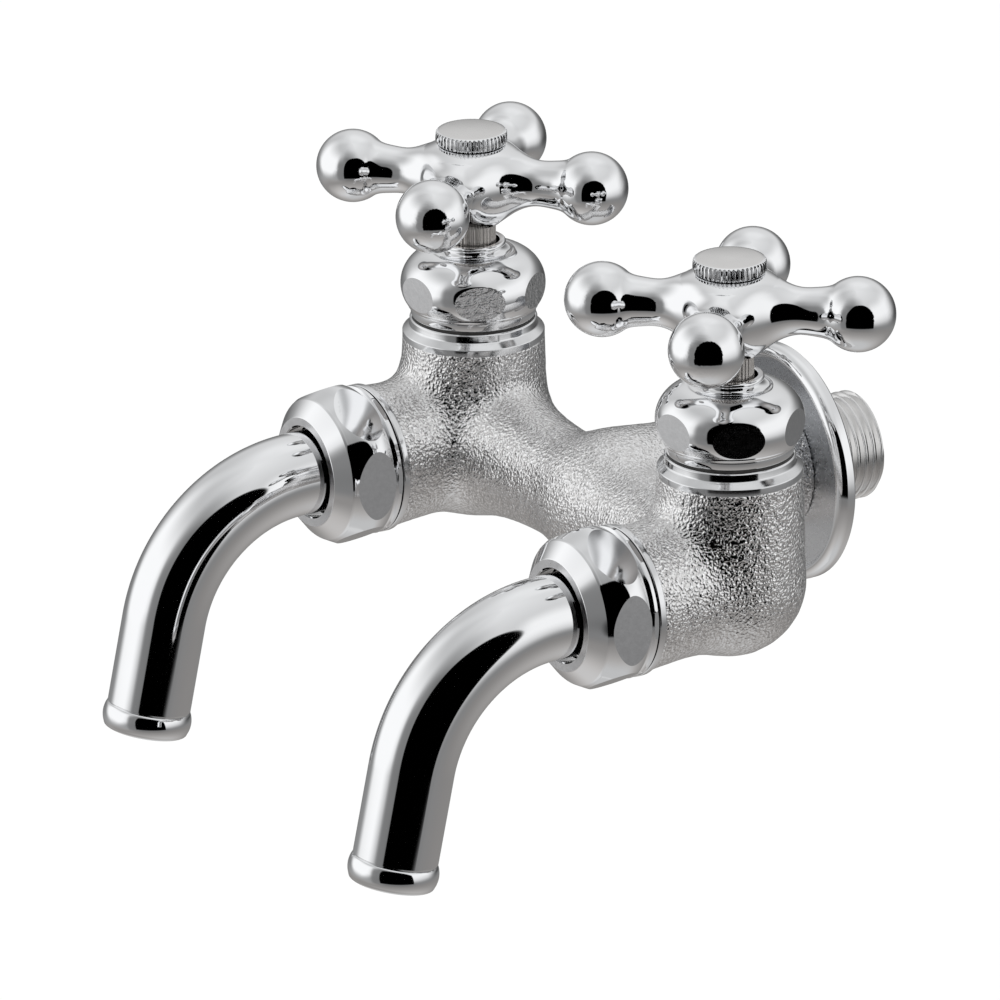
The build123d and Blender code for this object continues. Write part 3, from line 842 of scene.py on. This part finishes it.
def value_noise(p, size, seed):
    """Smooth noise of 3-D points, features about size mm across, from -1 to 1."""
    rng = np.random.RandomState(seed)
    perm = rng.permutation(256)
    vals = rng.uniform(-1, 1, 256)
    q = p / size
    i = np.floor(q).astype(int)
    f = q - i
    f = f * f * (3 - 2 * f)
    out = 0.0
    for cx in (0, 1):
        for cy in (0, 1):
            for cz in (0, 1):
                k = perm[(perm[(perm[(i[:, 0] + cx) & 255] + i[:, 1] + cy) & 255] + i[:, 2] + cz) & 255]
                wgt = (f[:, 0] if cx else 1 - f[:, 0]) * (f[:, 1] if cy else 1 - f[:, 1]) * (f[:, 2] if cz else 1 - f[:, 2])
                out = out + vals[k] * wgt
    return out


def cutter(profile, axis, n=48):
    v, f = lathe_arrays(profile, axis, n)
    me = bpy.data.meshes.new("cutter")
    me.from_pydata([tuple(p / 1000) for p in v], [], f)
    me.update()
    ob = bpy.data.objects.new("cutter", me)
    bpy.context.scene.collection.objects.link(ob)
    return ob


def cut(ob, cutters, operation="DIFFERENCE", solver="MANIFOLD"):
    for c in cutters:
        mod = ob.modifiers.new("cut", "BOOLEAN")
        mod.operation = operation
        mod.solver = solver
        mod.object = c
    bpy.context.view_layer.update()
    dg = bpy.context.evaluated_depsgraph_get()
    me = bpy.data.meshes.new_from_object(ob.evaluated_get(dg))
    old = ob.data
    ob.modifiers.clear()
    keep = old.materials[0]
    me.materials.clear()
    me.materials.append(keep)
    me.polygons.foreach_set("material_index", np.zeros(len(me.polygons), np.int32))
    ob.data = me
    bpy.data.meshes.remove(old)
    for c in cutters:
        mc = c.data
        bpy.data.objects.remove(c)
        bpy.data.meshes.remove(mc)


def build_casting():
    v, q, g = surface(casting_field, (-61, -67.5, -16.5), (61, -1.5, 21.8), 0.46)
    # pear-skin relief, faded out next to machined faces
    fade = np.clip((20.4 - v[:, 2]) / 1.2, 0, 1) * np.clip((v[:, 1] - (YV - 22.9)) / 1.2, 0, 1) * np.clip((-2.6 - v[:, 1]) / 1.0, 0, 1)
    relief = 0.6 * value_noise(v, 1.35, 3) + 0.5 * value_noise(v, 0.95, 7)
    v = v + (0.055 * relief * fade)[:, None] * g
    ob = make_mesh("body_casting_skin", v, q, MATS["cast"], "root", ["body_casting"], sharp=60)
    cutters = [
        cutter([(0, -3.0), (6.5, -3.0), (6.5, 43), (0, 43)], FORWARD(0, 0), 48),
        cutter([(0, -45), (4.7, -45), (4.7, 45), (0, 45)],
               (np.array([0, YV, -4.6]), np.array([0., 1, 0]), np.array([0., 0, 1]), np.array([1., 0, 0])), 48),
    ]
    for _, x in SIDES:
        cutters.append(cutter([(0, -9.5), (6.5, -9.5), (8, -8), (8, 0.2), (4.0, 0.2), (4.0, 3.0), (5.0, 3.0), (5.4, 2.6),
                               (5.4, 2.2), (9.5, 2.2), (9.5, 15.6), (6.6, 16.2), (6.6, 22), (0, 22)], UP(x), 48))
        cutters.append(cutter([(0, 0), (3.4, 0), (3.4, 16), (0, 16)],
                              (np.array([x, YV, 6.2]), np.array([1., 0, 0]), np.array([0., 0, 1]), np.array([0., -1, 0])), 32))
        cutters.append(cutter([(0, 12), (7.5, 12), (7.5, 24), (0, 24)], FORWARD(x), 48))
    cut(ob, cutters)
    ob.data.set_sharp_from_angle(angle=radians(60))
    return ob


casting = build_casting()

for side, x in SIDES:
    # machined shoulder, collar and threaded neck
    inner = [(6.05, 31.0), (6.05, 20.0)]
    outer = [(13.3, 20.0), (13.62, 20.35), (13.7, 20.6), (13.7, 21.75), (13.58, 21.95), (12.55, 22.72), (12.35, 22.95),
             (12.3, 23.2), (12.3, 24.25), (12.05, 24.5), (10.4, 24.5)]
    thread = []
    z = 24.9
    while z < 30.4:
        thread += [(10.4, z), (10.4, z + 0.3), (9.75, z + 0.62), (9.75, z + 0.72)]
        z += 1.05
    prof = inner + outer + thread + [(10.4, 30.7), (10.0, 31.0)]
    lathe(f"{side}_chamber_shoulder", soften(prof, 0.12), UP(x), MATS["chrome_turned"], "root",
          ["body_casting"], n=192)
    # polished ring and nipple of the outlet boss
    prof = [(7.5, 22.6), (13.6, 22.6), (13.95, 23.0), (14.1, 23.2), (14.4, 23.45), (14.4, 24.55), (14.25, 24.7), (12.9, 24.7)]
    z = 25.2
    while z < 32.0:
        prof += [(12.9, z), (12.9, z + 0.3), (12.2, z + 0.65), (12.2, z + 0.75)]
        z += 1.15
    prof += [(12.9, 32.4), (12.4, 33.0), (10.8, 33.0), (10.8, 28.5), (8.06, 28.5), (8.06, 25.5), (7.5, 25.5)]
    lathe(f"{side}_outlet_ring", soften(prof, 0.12), FORWARD(x), MATS["chrome_turned_y"], "root",
          ["body_casting"], n=192)


def inlet_thread():
    """G1/2 thread behind the flange: a helix with rounded crests, cut on a grid."""
    n, pitch = 128, 1.814
    r_major, r_minor = 10.4775, 9.32
    us = [2.5, 2.5, 1.9, 1.0, 0.6]
    hs = np.arange(0.6, -15.6, -pitch / 14)
    hs = np.append(hs, -15.6)
    ang = np.linspace(0, 2 * pi, n, endpoint=False)
    rings = []
    rings.append(np.full(n, 9.6) + 0j)
    rows = [(2.5, np.full(n, 9.6)), (0.75, np.full(n, 9.6)), (0.6, np.full(n, 9.35))]
    for h in hs:
        ph = ((h / pitch + ang / (2 * pi)) % 1.0)
        tri = np.abs(ph * 2 - 1)                 # 0 at the root, 1 at the crest
        s = np.clip((tri - 0.14) / 0.72, 0, 1)
        s = s + 0.06 * np.sin(2 * pi * s) * -1
        r = r_minor + (r_major - r_minor) * s
        run_in = np.clip((0.4 - h) / 1.0, 0, 1)
        r = r_minor + (r - r_minor) * run_in
        cap = r_major + 0.05 - max(0.0, (-14.9 - h)) * 1.5
        rows.append((h, np.minimum(r, cap)))
    rows.append((-15.6, np.full(n, 9.0)))
    rows.append((-15.6, np.full(n, 6.75)))
    rows.append((-15.35, np.full(n, 6.5)))
    rows.append((2.5, np.full(n, 6.5)))
    verts = []
    for h, r in rows:
        verts.append(np.stack([r * np.cos(ang), np.full(n, -h), r * np.sin(ang)], 1))
    v = np.concatenate(verts)
    m = len(rows)
    faces = []
    for i in range(m):
        a = np.arange(n) + i * n
        b = np.arange(n) + ((i + 1) % m) * n
        faces.append(np.stack([a, b, np.roll(b, -1), np.roll(a, -1)], 1))
    f = np.concatenate(faces)
    if signed_volume(v, [tuple(q) for q in f]) < 0:
        f = f[:, ::-1]
    return make_mesh("inlet_thread", v, np.ascontiguousarray(f), MATS["thread"], "root", ["body_casting"], sharp=50)


inlet_thread()

# wall flange: turned disc with a rounded rim
rim = arc3((21.6, 3.6), (22.9, 2.7), (23.2, 1.3), 14)
prof = rim + [(23.2, 0.45), (22.75, 0.0), (13.2, 0.0), (13.2, 1.0), (10.6, 1.0), (10.6, 2.4), (20.2, 2.4), (20.55, 2.55), (20.95, 3.35), (21.2, 3.55)]
disc = lathe("wall_flange_disc", soften(prof, 0.15), FORWARD(0, 0), MATS["chrome"], "root", ["wall_flange"], n=256)
# the dish in front of the flange takes the recess material with its painted shade
disc.data.materials.append(MATS["recess"])
for face in disc.data.polygons:
    if sqrt(face.center.x ** 2 + face.center.z ** 2) < 0.0204 and face.center.y < -0.0018:
        face.material_index = 1

# =========================================================================== handles

ARM_Z, REACH, BALL_R = 52.4, 24.0, 7.05


def smax(a, b, k):
    return -smin(-a, -b, k)


def handle_tables():
    start = (REACH + BALL_R * cos(radians(128)), BALL_R * sin(radians(128)))
    waist = spline([(3.0, 6.0), (9.2, 5.2), (13.4, 4.42), (16.5, 4.62), start], 10, (1, -0.05), (sin(radians(128)), -cos(radians(128))))
    ball = arc((REACH, 0), BALL_R, 128, 0, 40)
    arm = [(0, 3.0)] + [(r, u) for u, r in waist] + [(r, u) for u, r in ball[1:]]
    arm_t = profile_table(arm, 34, -40, 40)
    hub = spline([(5.35, -8.3), (6.5, -6.9), (7.9, -4.0), (8.2, 0), (7.9, 3.6), (7.1, 6.75)], 8)
    hub_t = profile_table([(0, -8.8), (4.95, -8.8)] + hub + [(0, 6.75)], 34, -40, 40)
    return arm_t, hub_t


ARM_T, HUB_T = handle_tables()


def handle_field(x, y, z):
    ax, ay = np.abs(x), np.abs(y)
    a = look(ARM_T, np.sqrt(ay * ay + z * z), ax)
    b = look(ARM_T, np.sqrt(ax * ax + z * z), ay)
    r = np.sqrt(x * x + y * y)
    hub = look(HUB_T, r, z)
    d = smin(smin(a, b, 7.0), hub, 7.0)
    # shoulders slope down from the screw head; the foot is flat
    cone = (z - np.maximum(6.75 - 0.42 * np.maximum(r - 6.6, 0.0), 5.7)) * 0.95
    top = smax(d, cone, 1.2)
    near = np.clip((13.0 - r) / 3.0, 0.0, 1.0)
    d = d + (top - d) * near
    return np.where(r < 12.0, np.maximum(d, -8.8 - z), d)


def build_handles():
    v, q, g = surface(handle_field, (-31.6, -31.6, -9.4), (31.6, 31.6, 8.0), 0.33)
    for side, x in SIDES:
        turn = radians({"left": 40.1, "right": 46.5}[side])
        rise = {"left": 0.0, "right": 0.6}[side]
        R = np.array([[cos(turn), -sin(turn), 0], [sin(turn), cos(turn), 0], [0, 0, 1]])
        w = v @ R.T + np.array([x, YV, ARM_Z + rise])
        ob = make_mesh(f"{side}_handle_cross", w, q, MATS["chrome_ball"], f"{side}_handle_set",
                       [f"{side}_handle"], None, g @ R.T)


build_handles()

# ======================================================================= nuts, spouts


def hex_prism(axis, half, lo, hi, first):
    """Six-sided prism across flats 2*half about axis, first flat at angle first (degrees)."""
    o, e1, e2, e3 = axis
    R = half / cos(pi / 6)
    pts = []
    for h in (lo, hi):
        for k in range(6):
            a = radians(first + 30 + 60 * k)
            pts.append(o + h * e3 + R * (cos(a) * e1 + sin(a) * e2))
    faces = [tuple(range(6))[::-1], tuple(range(6, 12))] + [(k, (k + 1) % 6, 6 + (k + 1) % 6, 6 + k) for k in range(6)]
    v = np.array(pts)
    c = v.mean(0)
    a, b, d = v[2] - c, v[3] - c, v[8] - c
    f2 = []
    for f in faces:
        p = v[list(f)]
        n = np.cross(p[1] - p[0], p[2] - p[0])
        f2.append(f if n @ (p.mean(0) - c) > 0 else f[::-1])
    me = bpy.data.meshes.new("prism")
    me.from_pydata([tuple(p / 1000) for p in v], [], f2)
    me.update()
    ob = bpy.data.objects.new("prism", me)
    bpy.context.scene.collection.objects.link(ob)
    return ob


def crease_flats(ob, axis, half, first, angle, flat_mats=None):
    """Sharp edges round the flats and wherever faces meet at more than angle."""
    o, e1, e2, e3 = axis
    me = ob.data
    me.set_sharp_from_angle(angle=radians(angle))
    n = len(me.polygons)
    nrm = np.zeros(n * 3, np.float32)
    cen = np.zeros(n * 3, np.float32)
    me.polygons.foreach_get("normal", nrm)
    me.polygons.foreach_get("center", cen)
    nrm, cen = nrm.reshape(-1, 3), cen.reshape(-1, 3) * 1000
    tag = np.zeros(n, int)
    for k in range(6):
        a = radians(first + 60 * k)
        d = cos(a) * e1 + sin(a) * e2
        on = (nrm @ d > 0.9995) & (np.abs((cen - o) @ d - half) < 0.02)
        tag[on] = k + 1
    edge_faces = {}
    for p in me.polygons:
        for key in p.edge_keys:
            edge_faces.setdefault(key, []).append(p.index)
    att = me.attributes.get("sharp_edge") or me.attributes.new("sharp_edge", "BOOLEAN", "EDGE")
    flags = np.zeros(len(me.edges), dtype=bool)
    att.data.foreach_get("value", flags)
    for e in me.edges:
        fs = edge_faces.get(tuple(sorted(e.vertices)), [])
        if len(fs) == 2 and tag[fs[0]] != tag[fs[1]]:
            flags[e.index] = True
    att = me.attributes.get("sharp_edge")
    att.data.foreach_set("value", flags)
    if flat_mats is not None:
        idx = np.zeros(n, np.int32)
        for k, m in enumerate(flat_mats):
            if m.name not in me.materials:
                me.materials.append(m)
            idx[tag == k + 1] = me.materials.find(m.name)
        me.polygons.foreach_set("material_index", idx)
    me.update()
    settle(ob)


def end_face(ob, axis, at, mat):
    """Give mat to the faces square to the axis beyond height at."""
    o, e1, e2, e3 = axis
    me = ob.data
    n = len(me.polygons)
    nrm = np.zeros(n * 3, np.float32)
    cen = np.zeros(n * 3, np.float32)
    idx = np.zeros(n, np.int32)
    me.polygons.foreach_get("normal", nrm)
    me.polygons.foreach_get("center", cen)
    me.polygons.foreach_get("material_index", idx)
    nrm, cen = nrm.reshape(-1, 3), cen.reshape(-1, 3) * 1000
    me.materials.append(mat)
    idx[(nrm @ e3 > 0.98) & ((cen - o) @ e3 > at)] = len(me.materials) - 1
    me.polygons.foreach_set("material_index", idx)
    me.update()


for side, x in SIDES:
    # ------------------------------------------------------------------ cover nut
    ar = 13.95 - 6.7
    bulb = arc((ar, 31.1), 6.7, -37, 84, 40)
    cove = arc3(bulb[-1], (6.25, 38.0), (5.75, 38.5), 14) + [(5.72, 38.9)]
    lip = arc3((6.15, 38.95), (6.4, 39.4), (6.1, 39.9), 10)
    foot = arc3((12.05, 26.55), (12.5, 26.75), bulb[0], 8)
    prof = (cove[1:] + lip + [(5.3, 39.9), (5.2, 39.8), (5.2, 36.2), (8.0, 33.6), (8.0, 31.1), (10.45, 31.1), (10.45, 25.3),
            (11.8, 25.0), (11.95, 25.12), (12.05, 25.3)] + foot + bulb[1:])
    ob = lathe(f"{side}_cover_nut_bulb", prof, UP(x), MATS["chrome"], "root",
               [f"{side}_cover_nut"], n=240)
    cut(ob, [hex_prism(UP(x), 13.06, 20, 44, -26)], "INTERSECT")
    rough, plain = MATS[f"flat_{side}"], MATS["flat_right"]
    crease_flats(ob, UP(x), 13.06, -26, 26, [rough, rough, plain, rough, plain, plain])

    # ------------------------------------------------------------------ spout nut
    front = [(38.15, 10.62), (38.08, 10.8)] + arc3((35.78, 13.6), (35.5, 13.82), (35.2, 13.98), 8)
    front += spline([front[-1], (34.2, 14.5), (32.8, 15.2), (31.0, 15.74), (29.0, 15.52), (27.2, 14.72), (26.2, 14.0)], 8,
                    (-0.88, 0.47), (-0.75, -0.66))[1:]
    prof = [(r, u) for u, r in front] + [(13.9, 26.05), (14.0, 25.95), (14.4, 25.8), (14.45, 25.2), (14.2, 24.95), (12.95, 24.95),
            (12.95, 33.2), (11.2, 33.6), (11.2, 34.9), (8.9, 34.9), (8.9, 37.85), (9.1, 38.15)]
    ob = lathe(f"{side}_spout_nut_bulb", prof, FORWARD(x), MATS["chrome"], "root",
               [f"{side}_spout_nut"], n=240)
    cut(ob, [hex_prism(FORWARD(x), 14.18, 20, 44, 0)], "INTERSECT")
    plain, clear = MATS["flat_front"], MATS["chrome"]
    crease_flats(ob, FORWARD(x), 14.18, 0, 26, [plain, clear, clear, plain, plain, plain])
    end_face(ob, FORWARD(x), 37.9, MATS["nut_face"])


def spout_pipe(side, x):
    """Tube swept along straight spigot, bend and tail; the profile is (distance, radius)."""
    R, bend = 30.0, radians(77.5)
    s0, L0, Lb = 26.0, 14.8, 30.0 * radians(77.5)

    def place(s):
        if s < L0:
            return np.array([x, YV - s0 - s, 0]), np.array([0., -1, 0])
        if s < L0 + Lb:
            a = (s - L0) / R
            return (np.array([x, YV - s0 - L0 - R * sin(a), -R * (1 - cos(a))]), np.array([0, -cos(a), -sin(a)]))
        t = np.array([0, -cos(bend), -sin(bend)])
        return np.array([x, YV - s0 - L0 - R * sin(bend), -R * (1 - cos(bend))]) + (s - L0 - Lb) * t, t

    T = L0 + Lb
    path = [(0.3, 8.0), (7.45, 8.0), (7.46, 7.6), (8.54, 7.6), (8.55, 8.0)]
    path += [(s, 8.0) for s in np.linspace(9.2, L0, 5)]
    path += [(L0 + Lb * k / 72, 8.0) for k in range(1, 73)]
    path += [(T + s, 8.0) for s in np.linspace(1.5, 16.4, 12)]
    path += [(T + 16.85, 8.0), (T + 16.95, 7.86), (T + 17.2, 7.84), (T + 17.32, 8.02)]
    path += [(T + s, r) for s, r in arc3((17.45, 8.15), (19.2, 8.55), (21.3, 8.1), 14)]
    path += [(T + s, r) for s, r in arc3((21.3, 8.1), (21.8, 7.5), (21.3, 7.0), 12)[1:]]
    path += [(T + s, 7.0) for s in np.linspace(19.0, 1.0, 6)]
    path += [(L0 + Lb * k / 48, 7.0) for k in range(48, -1, -1)]
    path += [(10.0, 7.0), (0.3, 7.0), (0.0, 7.2), (0.0, 7.8)]
    n = 144
    ang = np.linspace(0, 2 * pi, n, endpoint=False)
    e1 = np.array([1., 0, 0])
    verts = []
    for s, r in path:
        c, t = place(s)
        e2 = np.cross(t, e1)
        verts.append(c + r * (np.cos(ang)[:, None] * e1 + np.sin(ang)[:, None] * e2))
    v = np.concatenate(verts)
    m = len(path)
    faces = []
    for i in range(m):
        a = np.arange(n) + i * n
        b = np.arange(n) + ((i + 1) % m) * n
        faces.append(np.stack([a, b, np.roll(b, -1), np.roll(a, -1)], 1))
    f = np.concatenate(faces)
    if signed_volume(v, [tuple(q) for q in f]) < 0:
        f = f[:, ::-1]
    return settle(make_mesh(f"{side}_spout_tube", v, np.ascontiguousarray(f), MATS["chrome_pipe"], f"{side}_spout",
                            [f"{side}_spout_pipe"], sharp=35))


for side, x in SIDES:
    spout_pipe(side, x)


def ribbed(name, profile, axis, rib, n, mat, body, replaces, sharp, cap_mat=None, cap_from=None):
    """A turned profile whose radius is held inside rib(angle): knurls and splines."""
    o, e1, e2, e3 = axis
    ang = np.linspace(0, 2 * pi, n, endpoint=False)
    lim = np.array([rib(a) for a in ang])
    ring = np.cos(ang)[:, None] * e1 + np.sin(ang)[:, None] * e2
    verts, idx, count = [], [], 0
    for r, h in profile:
        if abs(r) < 1e-6:
            verts.append((o + h * e3)[None])
            idx.append(np.full(n, count))
            count += 1
        else:
            verts.append(o + h * e3 + np.minimum(r, lim)[:, None] * ring)
            idx.append(np.arange(count, count + n))
            count += n
    faces, tops = [], []
    m = len(profile)
    for i in range(m):
        a, b = idx[i], idx[(i + 1) % m]
        pa, pb = abs(profile[i][0]) < 1e-6, abs(profile[(i + 1) % m][0]) < 1e-6
        if pa and pb:
            continue
        a2, b2 = np.roll(a, -1), np.roll(b, -1)
        top = cap_from is not None and min(profile[i][1], profile[(i + 1) % m][1]) >= cap_from
        for j in range(n):
            if pa:
                faces.append((int(a[j]), int(b[j]), int(b2[j])))
            elif pb:
                faces.append((int(a[j]), int(b[j]), int(a2[j])))
            else:
                faces.append((int(a[j]), int(b[j]), int(b2[j]), int(a2[j])))
            tops.append(top)
    v = np.concatenate(verts)
    if signed_volume(v, faces) < 0:
        faces = [tuple(reversed(f)) for f in faces]
    ob = make_mesh(name, v, faces, mat, body, replaces, sharp)
    if cap_mat is not None:
        ob.data.materials.append(cap_mat)
        ob.data.polygons.foreach_set("material_index", np.array(tops, dtype=np.int32))
    return ob


for side, x in SIDES:
    rise = {"left": 0.0, "right": 0.6}[side]
    # knurled head of the handle screw, with its shank
    N = 48

    def knurl(a):
        t = (a * N / (2 * pi) + 0.05) % 1.0
        d = abs(t - 0.5) / 0.31            # 0 in the middle of a groove, 1 at its edge
        return 6.93 - 0.50 * sqrt(max(0.0, 1.0 - d * d))

    crown = arc3((6.0, 62.04 + rise), (3.1, 62.22 + rise), (0, 62.3 + rise), 14)
    prof = [(0, 48.0), (2.2, 48.0), (2.45, 48.3), (2.45, 59.1 + rise), (2.6, 59.25 + rise), (6.25, 59.25 + rise), (6.5, 59.38 + rise), (6.93, 59.85 + rise),
            (6.9, 60.6 + rise), (6.85, 61.5 + rise), (6.72, 61.74 + rise), (6.5, 61.9 + rise), (6.25, 61.98 + rise)] + crown
    ribbed(f"{side}_handle_screw_head", prof, UP(x), knurl, N * 12, MATS["knurl"], f"{side}_handle_set",
           [f"{side}_handle_screw"], 30, MATS[f"satin_{side}"], 61.97 + rise)

    # spindle: screw below, splined above the packing
    def spline_of(a):
        t = (a * 36 / (2 * pi)) % 1.0
        d = abs(t - 0.5) * 2
        return 4.38 + 0.12 * min(1.0, max(0.0, (d - 0.30) / 0.30))

    low = [(2.5, 46.5), (0, 46.5), (0, 20.5), (2.5, 20.5), (2.5, 7.1), (5.0, 7.1), (5.0, 16.0)]
    z = 16.4
    while z < 25.4:
        low += [(5.3, z), (6.0, z + 0.75), (6.0, z + 0.95), (5.3, z + 1.5)]
        z += 1.5
    prof = low + [(4.5, 26.2), (4.5, 39.55), (4.2, 39.6)]
    o, e1, e2, e3 = UP(x)
    lower = [(2.5, 46.5), (0, 46.5), (0, 20.5), (2.5, 20.5), (2.5, 7.1), (5.0, 7.1), (5.0, 16.0)] + low[7:] + [(4.5, 26.2), (4.5, 39.5)]
    upper = [(4.49, 39.52), (4.49, 45.0), (4.49, 52.0), (4.49, 57.2), (4.0, 57.7), (2.5, 57.7)]
    n = 240
    ang = np.linspace(0, 2 * pi, n, endpoint=False)
    lim = np.array([spline_of(a) for a in ang])
    rows = []
    for r, h in lower + upper:
        rr = np.full(n, r) if h < 39.51 or r < 3.0 else np.minimum(r, lim)
        rows.append((rr, h))
    verts, idx, count = [], [], 0
    ring = np.cos(ang)[:, None] * e1 + np.sin(ang)[:, None] * e2
    for rr, h in rows:
        if rr.max() < 1e-6:
            verts.append((o + h * e3)[None]); idx.append(np.full(n, count)); count += 1
        else:
            verts.append(o + h * e3 + rr[:, None] * ring); idx.append(np.arange(count, count + n)); count += n
    faces = []
    for i in range(len(rows)):
        a, b = idx[i], idx[(i + 1) % len(rows)]
        a2, b2 = np.roll(a, -1), np.roll(b, -1)
        pa, pb = rows[i][0].max() < 1e-6, rows[(i + 1) % len(rows)][0].max() < 1e-6
        if pa and pb:
            continue
        for j in range(n):
            if pa:
                faces.append((int(a[j]), int(b[j]), int(b2[j])))
            elif pb:
                faces.append((int(a[j]), int(b[j]), int(a2[j])))
            else:
                faces.append((int(a[j]), int(b[j]), int(b2[j]), int(a2[j])))
    v = np.concatenate(verts)
    if signed_volume(v, faces) < 0:
        faces = [tuple(reversed(f)) for f in faces]
    settle(make_mesh(f"{side}_spindle_stem", v, faces, MATS["stem"], f"{side}_handle_set", [f"{side}_spindle"], 30))

# ------------------------------------------------------------- CAD nodes that stay
LOOK = {"flange_gasket": "rubber"}
for side, _ in SIDES:
    LOOK.update({f"{side}_cover_gasket": "rubber", f"{side}_packing_washer": "brass", f"{side}_gland_packing": "rubber",
                 f"{side}_jumper_valve": "brass", f"{side}_jumper_washer": "rubber", f"{side}_jumper_nut": "brass",
                 f"{side}_snap_ring": "stainless", f"{side}_spout_packing": "rubber", f"{side}_slip_ring": "resin"})
for node, key in LOOK.items():
    ob = NODES[node]
    if ob.material_slots:
        for s in ob.material_slots:
            s.link = "OBJECT"
            s.material = MATS[key]
    else:
        ob.data.materials.append(MATS[key])
